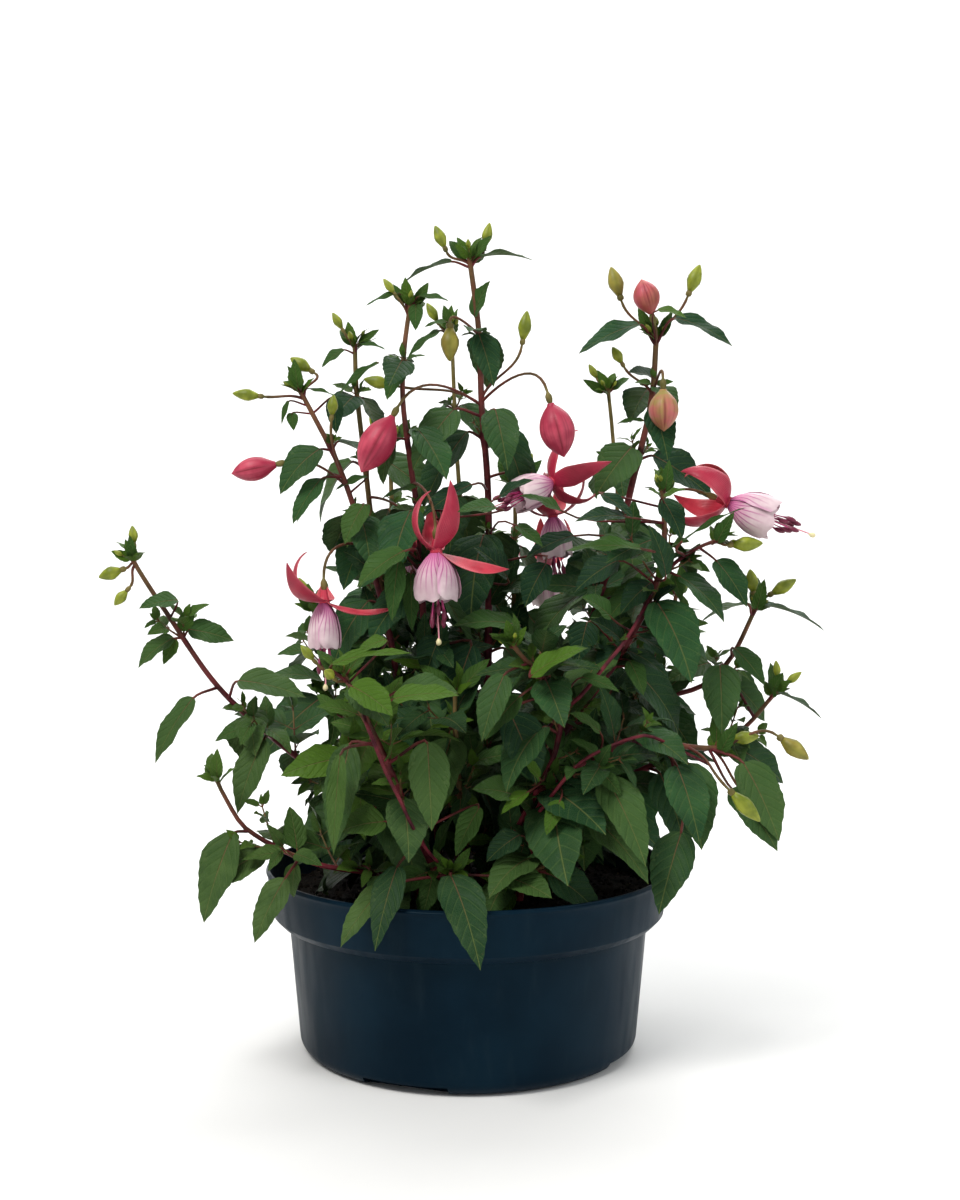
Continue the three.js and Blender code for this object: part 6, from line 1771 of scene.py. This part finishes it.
# %% [markdown]
# ## Potting soil
# Dark peaty soil fills the pot to about 20 mm under the rim. Its body is spun like the pot, then its
# top is raised and lowered with noise. Loose crumbs and a few pale bits of bark and perlite are
# scattered over the top by a tree with a fixed seed.


# %% Soil body
SOIL_TOP, SOIL_CROWN, RIM = 103.5, 3, 137


def soil_level(x, y):
    out = hypot(x, y) / RIM
    waves = sin(x / 11) * cos(y / 13) + sin((x + y) / 7)
    lumps = noise.noise(Vector((x, y, 0)) * 0.12) * 1.3 + noise.noise(Vector((x, y, 9)) * 0.35) * 0.9
    return SOIL_TOP + SOIL_CROWN * (1 - out * out) + 0.7 * waves + lumps


section = [(0, 2.7), *corner((105, 10.6), 7.9, -90, 0, 4), (116.4, 49), (119.9, 91.1), (126.9, 91.1),
           (130.9, 96.1), *[(132.1 - 0.03 * k - 3 * k, SOIL_TOP) for k in range(1, 43)], (0, SOIL_TOP)]
soil = spun("soil_body", section, SOIL_TURNS)
for vertex in soil.data.vertices:
    x, y, z = vertex.co / MM
    if z > SOIL_TOP - 0.5:
        vertex.co.z = soil_level(x, y) * MM
soil = cut(soil, notches("soil_notch", WALL + SOIL_GAP))
dress(soil.data, SOIL_FINISH)
soil.data.attributes.new("fleck", "FLOAT", "POINT")
settle(soil, "potting_soil", "potting_soil")
print("soil faces:", len(soil.data.polygons))

# %% Tree for crumbs
CRUMBS, inward = shape_tree("crumbs", Density=("Float", 52000.0), Seed=("Int", 4), Pale=("Float", 0.02),
                            Smallest=("Float", 0.0005), Largest=("Float", 0.0024))
height = Field(CRUMBS, add(CRUMBS, "GeometryNodeInputPosition").outputs[0]).split()[2]
top_only = height.work("GREATER_THAN", 0.1005)
scatter = add(CRUMBS, "GeometryNodeDistributePointsOnFaces", {
    "Mesh": inward["Geometry"], "Selection": top_only, "Density": inward["Density"],
    "Seed": inward["Seed"]})


def drawn(seed, low, high, kind="FLOAT"):
    node = add(CRUMBS, "FunctionNodeRandomValue", data_type=kind)
    live = [socket for socket in node.inputs if socket.enabled]
    feed(CRUMBS, live[0], low)
    feed(CRUMBS, live[1], high)
    feed(CRUMBS, node.inputs["Seed"], seed)
    return Field(CRUMBS, next(socket for socket in node.outputs if socket.enabled))


lump = add(CRUMBS, "GeometryNodeMeshIcoSphere", {"Radius": 1.0, "Subdivisions": 1})
grain = drawn(1, 0.0, 1.0).work("POWER", 2.5)
stretch = add(CRUMBS, "ShaderNodeMapRange", {"Value": grain, "To Min": inward["Smallest"],
                                             "To Max": inward["Largest"]})
shape = drawn(2, (0.6, 0.5, 0.4), (1.5, 1.2, 0.9), "FLOAT_VECTOR") * stretch.outputs["Result"]
spin = drawn(3, (0.0, 0.0, 0.0), (6.28, 6.28, 6.28), "FLOAT_VECTOR")
spin = add(CRUMBS, "FunctionNodeEulerToRotation", {0: spin}).outputs[0]
bits = add(CRUMBS, "GeometryNodeInstanceOnPoints", {
    "Points": scatter.outputs["Points"], "Instance": lump.outputs["Mesh"], "Rotation": spin,
    "Scale": shape})
pale = drawn(5, 0.0, 1.0).work("LESS_THAN", inward["Pale"]) * drawn(6, 0.4, 1.0)
tagged = add(CRUMBS, "GeometryNodeStoreNamedAttribute", {"Geometry": bits.outputs[0], "Name": "fleck"},
             domain="INSTANCE")
feed(CRUMBS, tagged.inputs["Value"], pale)
close_tree(CRUMBS, tagged.outputs[0], inward["Material"])
crumbs = grow("soil_crumbs", soil.data.copy(), CRUMBS, Material=SOIL_FINISH)
settle(crumbs, "potting_soil")
print("crumb faces:", len(crumbs.data.polygons))

# %% [markdown]
# ## Floor and light
# The plant stands on a plain pale floor that sweeps up behind it, under large soft lights. A broad
# key stands high at the front left, a weaker one fills from the right, one behind the plant lights its
# edges, and one more lights the backdrop. The leaves shade each other, and the inner leaves carry
# painted shade as well, which gives the plant its dark heart.

# %% Floor and lights
FLOOR_FINISH, tree, sockets = new_finish("pale_floor", 0.8, Specular_IOR_Level=0.2)
skin = use(tree, MOTTLE, Dark=rgb(0.8, 0.8, 0.79), Light=rgb(0.86, 0.86, 0.85), Scale=2.0,
           Fine_scale=60.0)
feed(tree, sockets["Base Color"], skin["Color"])
# In metres: half the floor's width, how far it lies under the pot so that they never flicker, and its
# section from the front to the top of the backdrop.
HALF_FLOOR, UNDER = 4.5, 0.0003
sweep = [(-3.5, 0.0), (1.4, 0.0), *corner((1.4, 1.0), 1.0, -90, 0, 16), (2.4, 3.2)]
floor_points = [(x, y, z - UNDER) for y, z in sweep for x in (-HALF_FLOOR, HALF_FLOOR)]
floor_faces = [(2 * i, 2 * i + 1, 2 * i + 3, 2 * i + 2) for i in range(len(sweep) - 1)]
floor_mesh = plain_mesh("floor", floor_points, (), floor_faces)
dress(floor_mesh, FLOOR_FINISH)
shown("floor", floor_mesh)

PLANT_MIDDLE, BACKDROP = Vector((0, 0, 0.25)), Vector((0, 2.4, 0.9))
for name, place, target, size, watts, tint in (
        ("key", (-0.9, -1.2, 2.1), PLANT_MIDDLE, 0.9, 46, (1, 0.98, 0.95)),
        ("fill", (1.7, -1.1, 1.0), PLANT_MIDDLE, 1.4, 14, (0.95, 0.98, 1)),
        ("edges", (0.6, 1.2, 1.6), PLANT_MIDDLE, 1.2, 14, (1, 1, 1)),
        ("backdrop", (0, 0.9, 2.3), BACKDROP, 1.6, 46, (1, 1, 1))):
    light = bpy.data.lights.new(name, "AREA")
    light.size, light.energy, light.color = size, watts, tint
    lamp = shown(name, light)
    lamp.location = place
    lamp.rotation_euler = (target - Vector(place)).to_track_quat("-Z", "Y").to_euler()
sky = bpy.data.worlds.new("sky")
sky.use_nodes = True
background = sky.node_tree.nodes["Background"].inputs
background["Color"].default_value = rgb(0.97, 0.985, 1.0)
background["Strength"].default_value = 0.4
bpy.context.scene.world = sky
bpy.context.scene.view_settings.view_transform = "Standard"
print("lights:", len(bpy.data.lights))

# %% Measure and finish
print("pieces:", len(FACES), "faces:", sum(FACES.values()), "largest:", max(FACES, key=FACES.get))
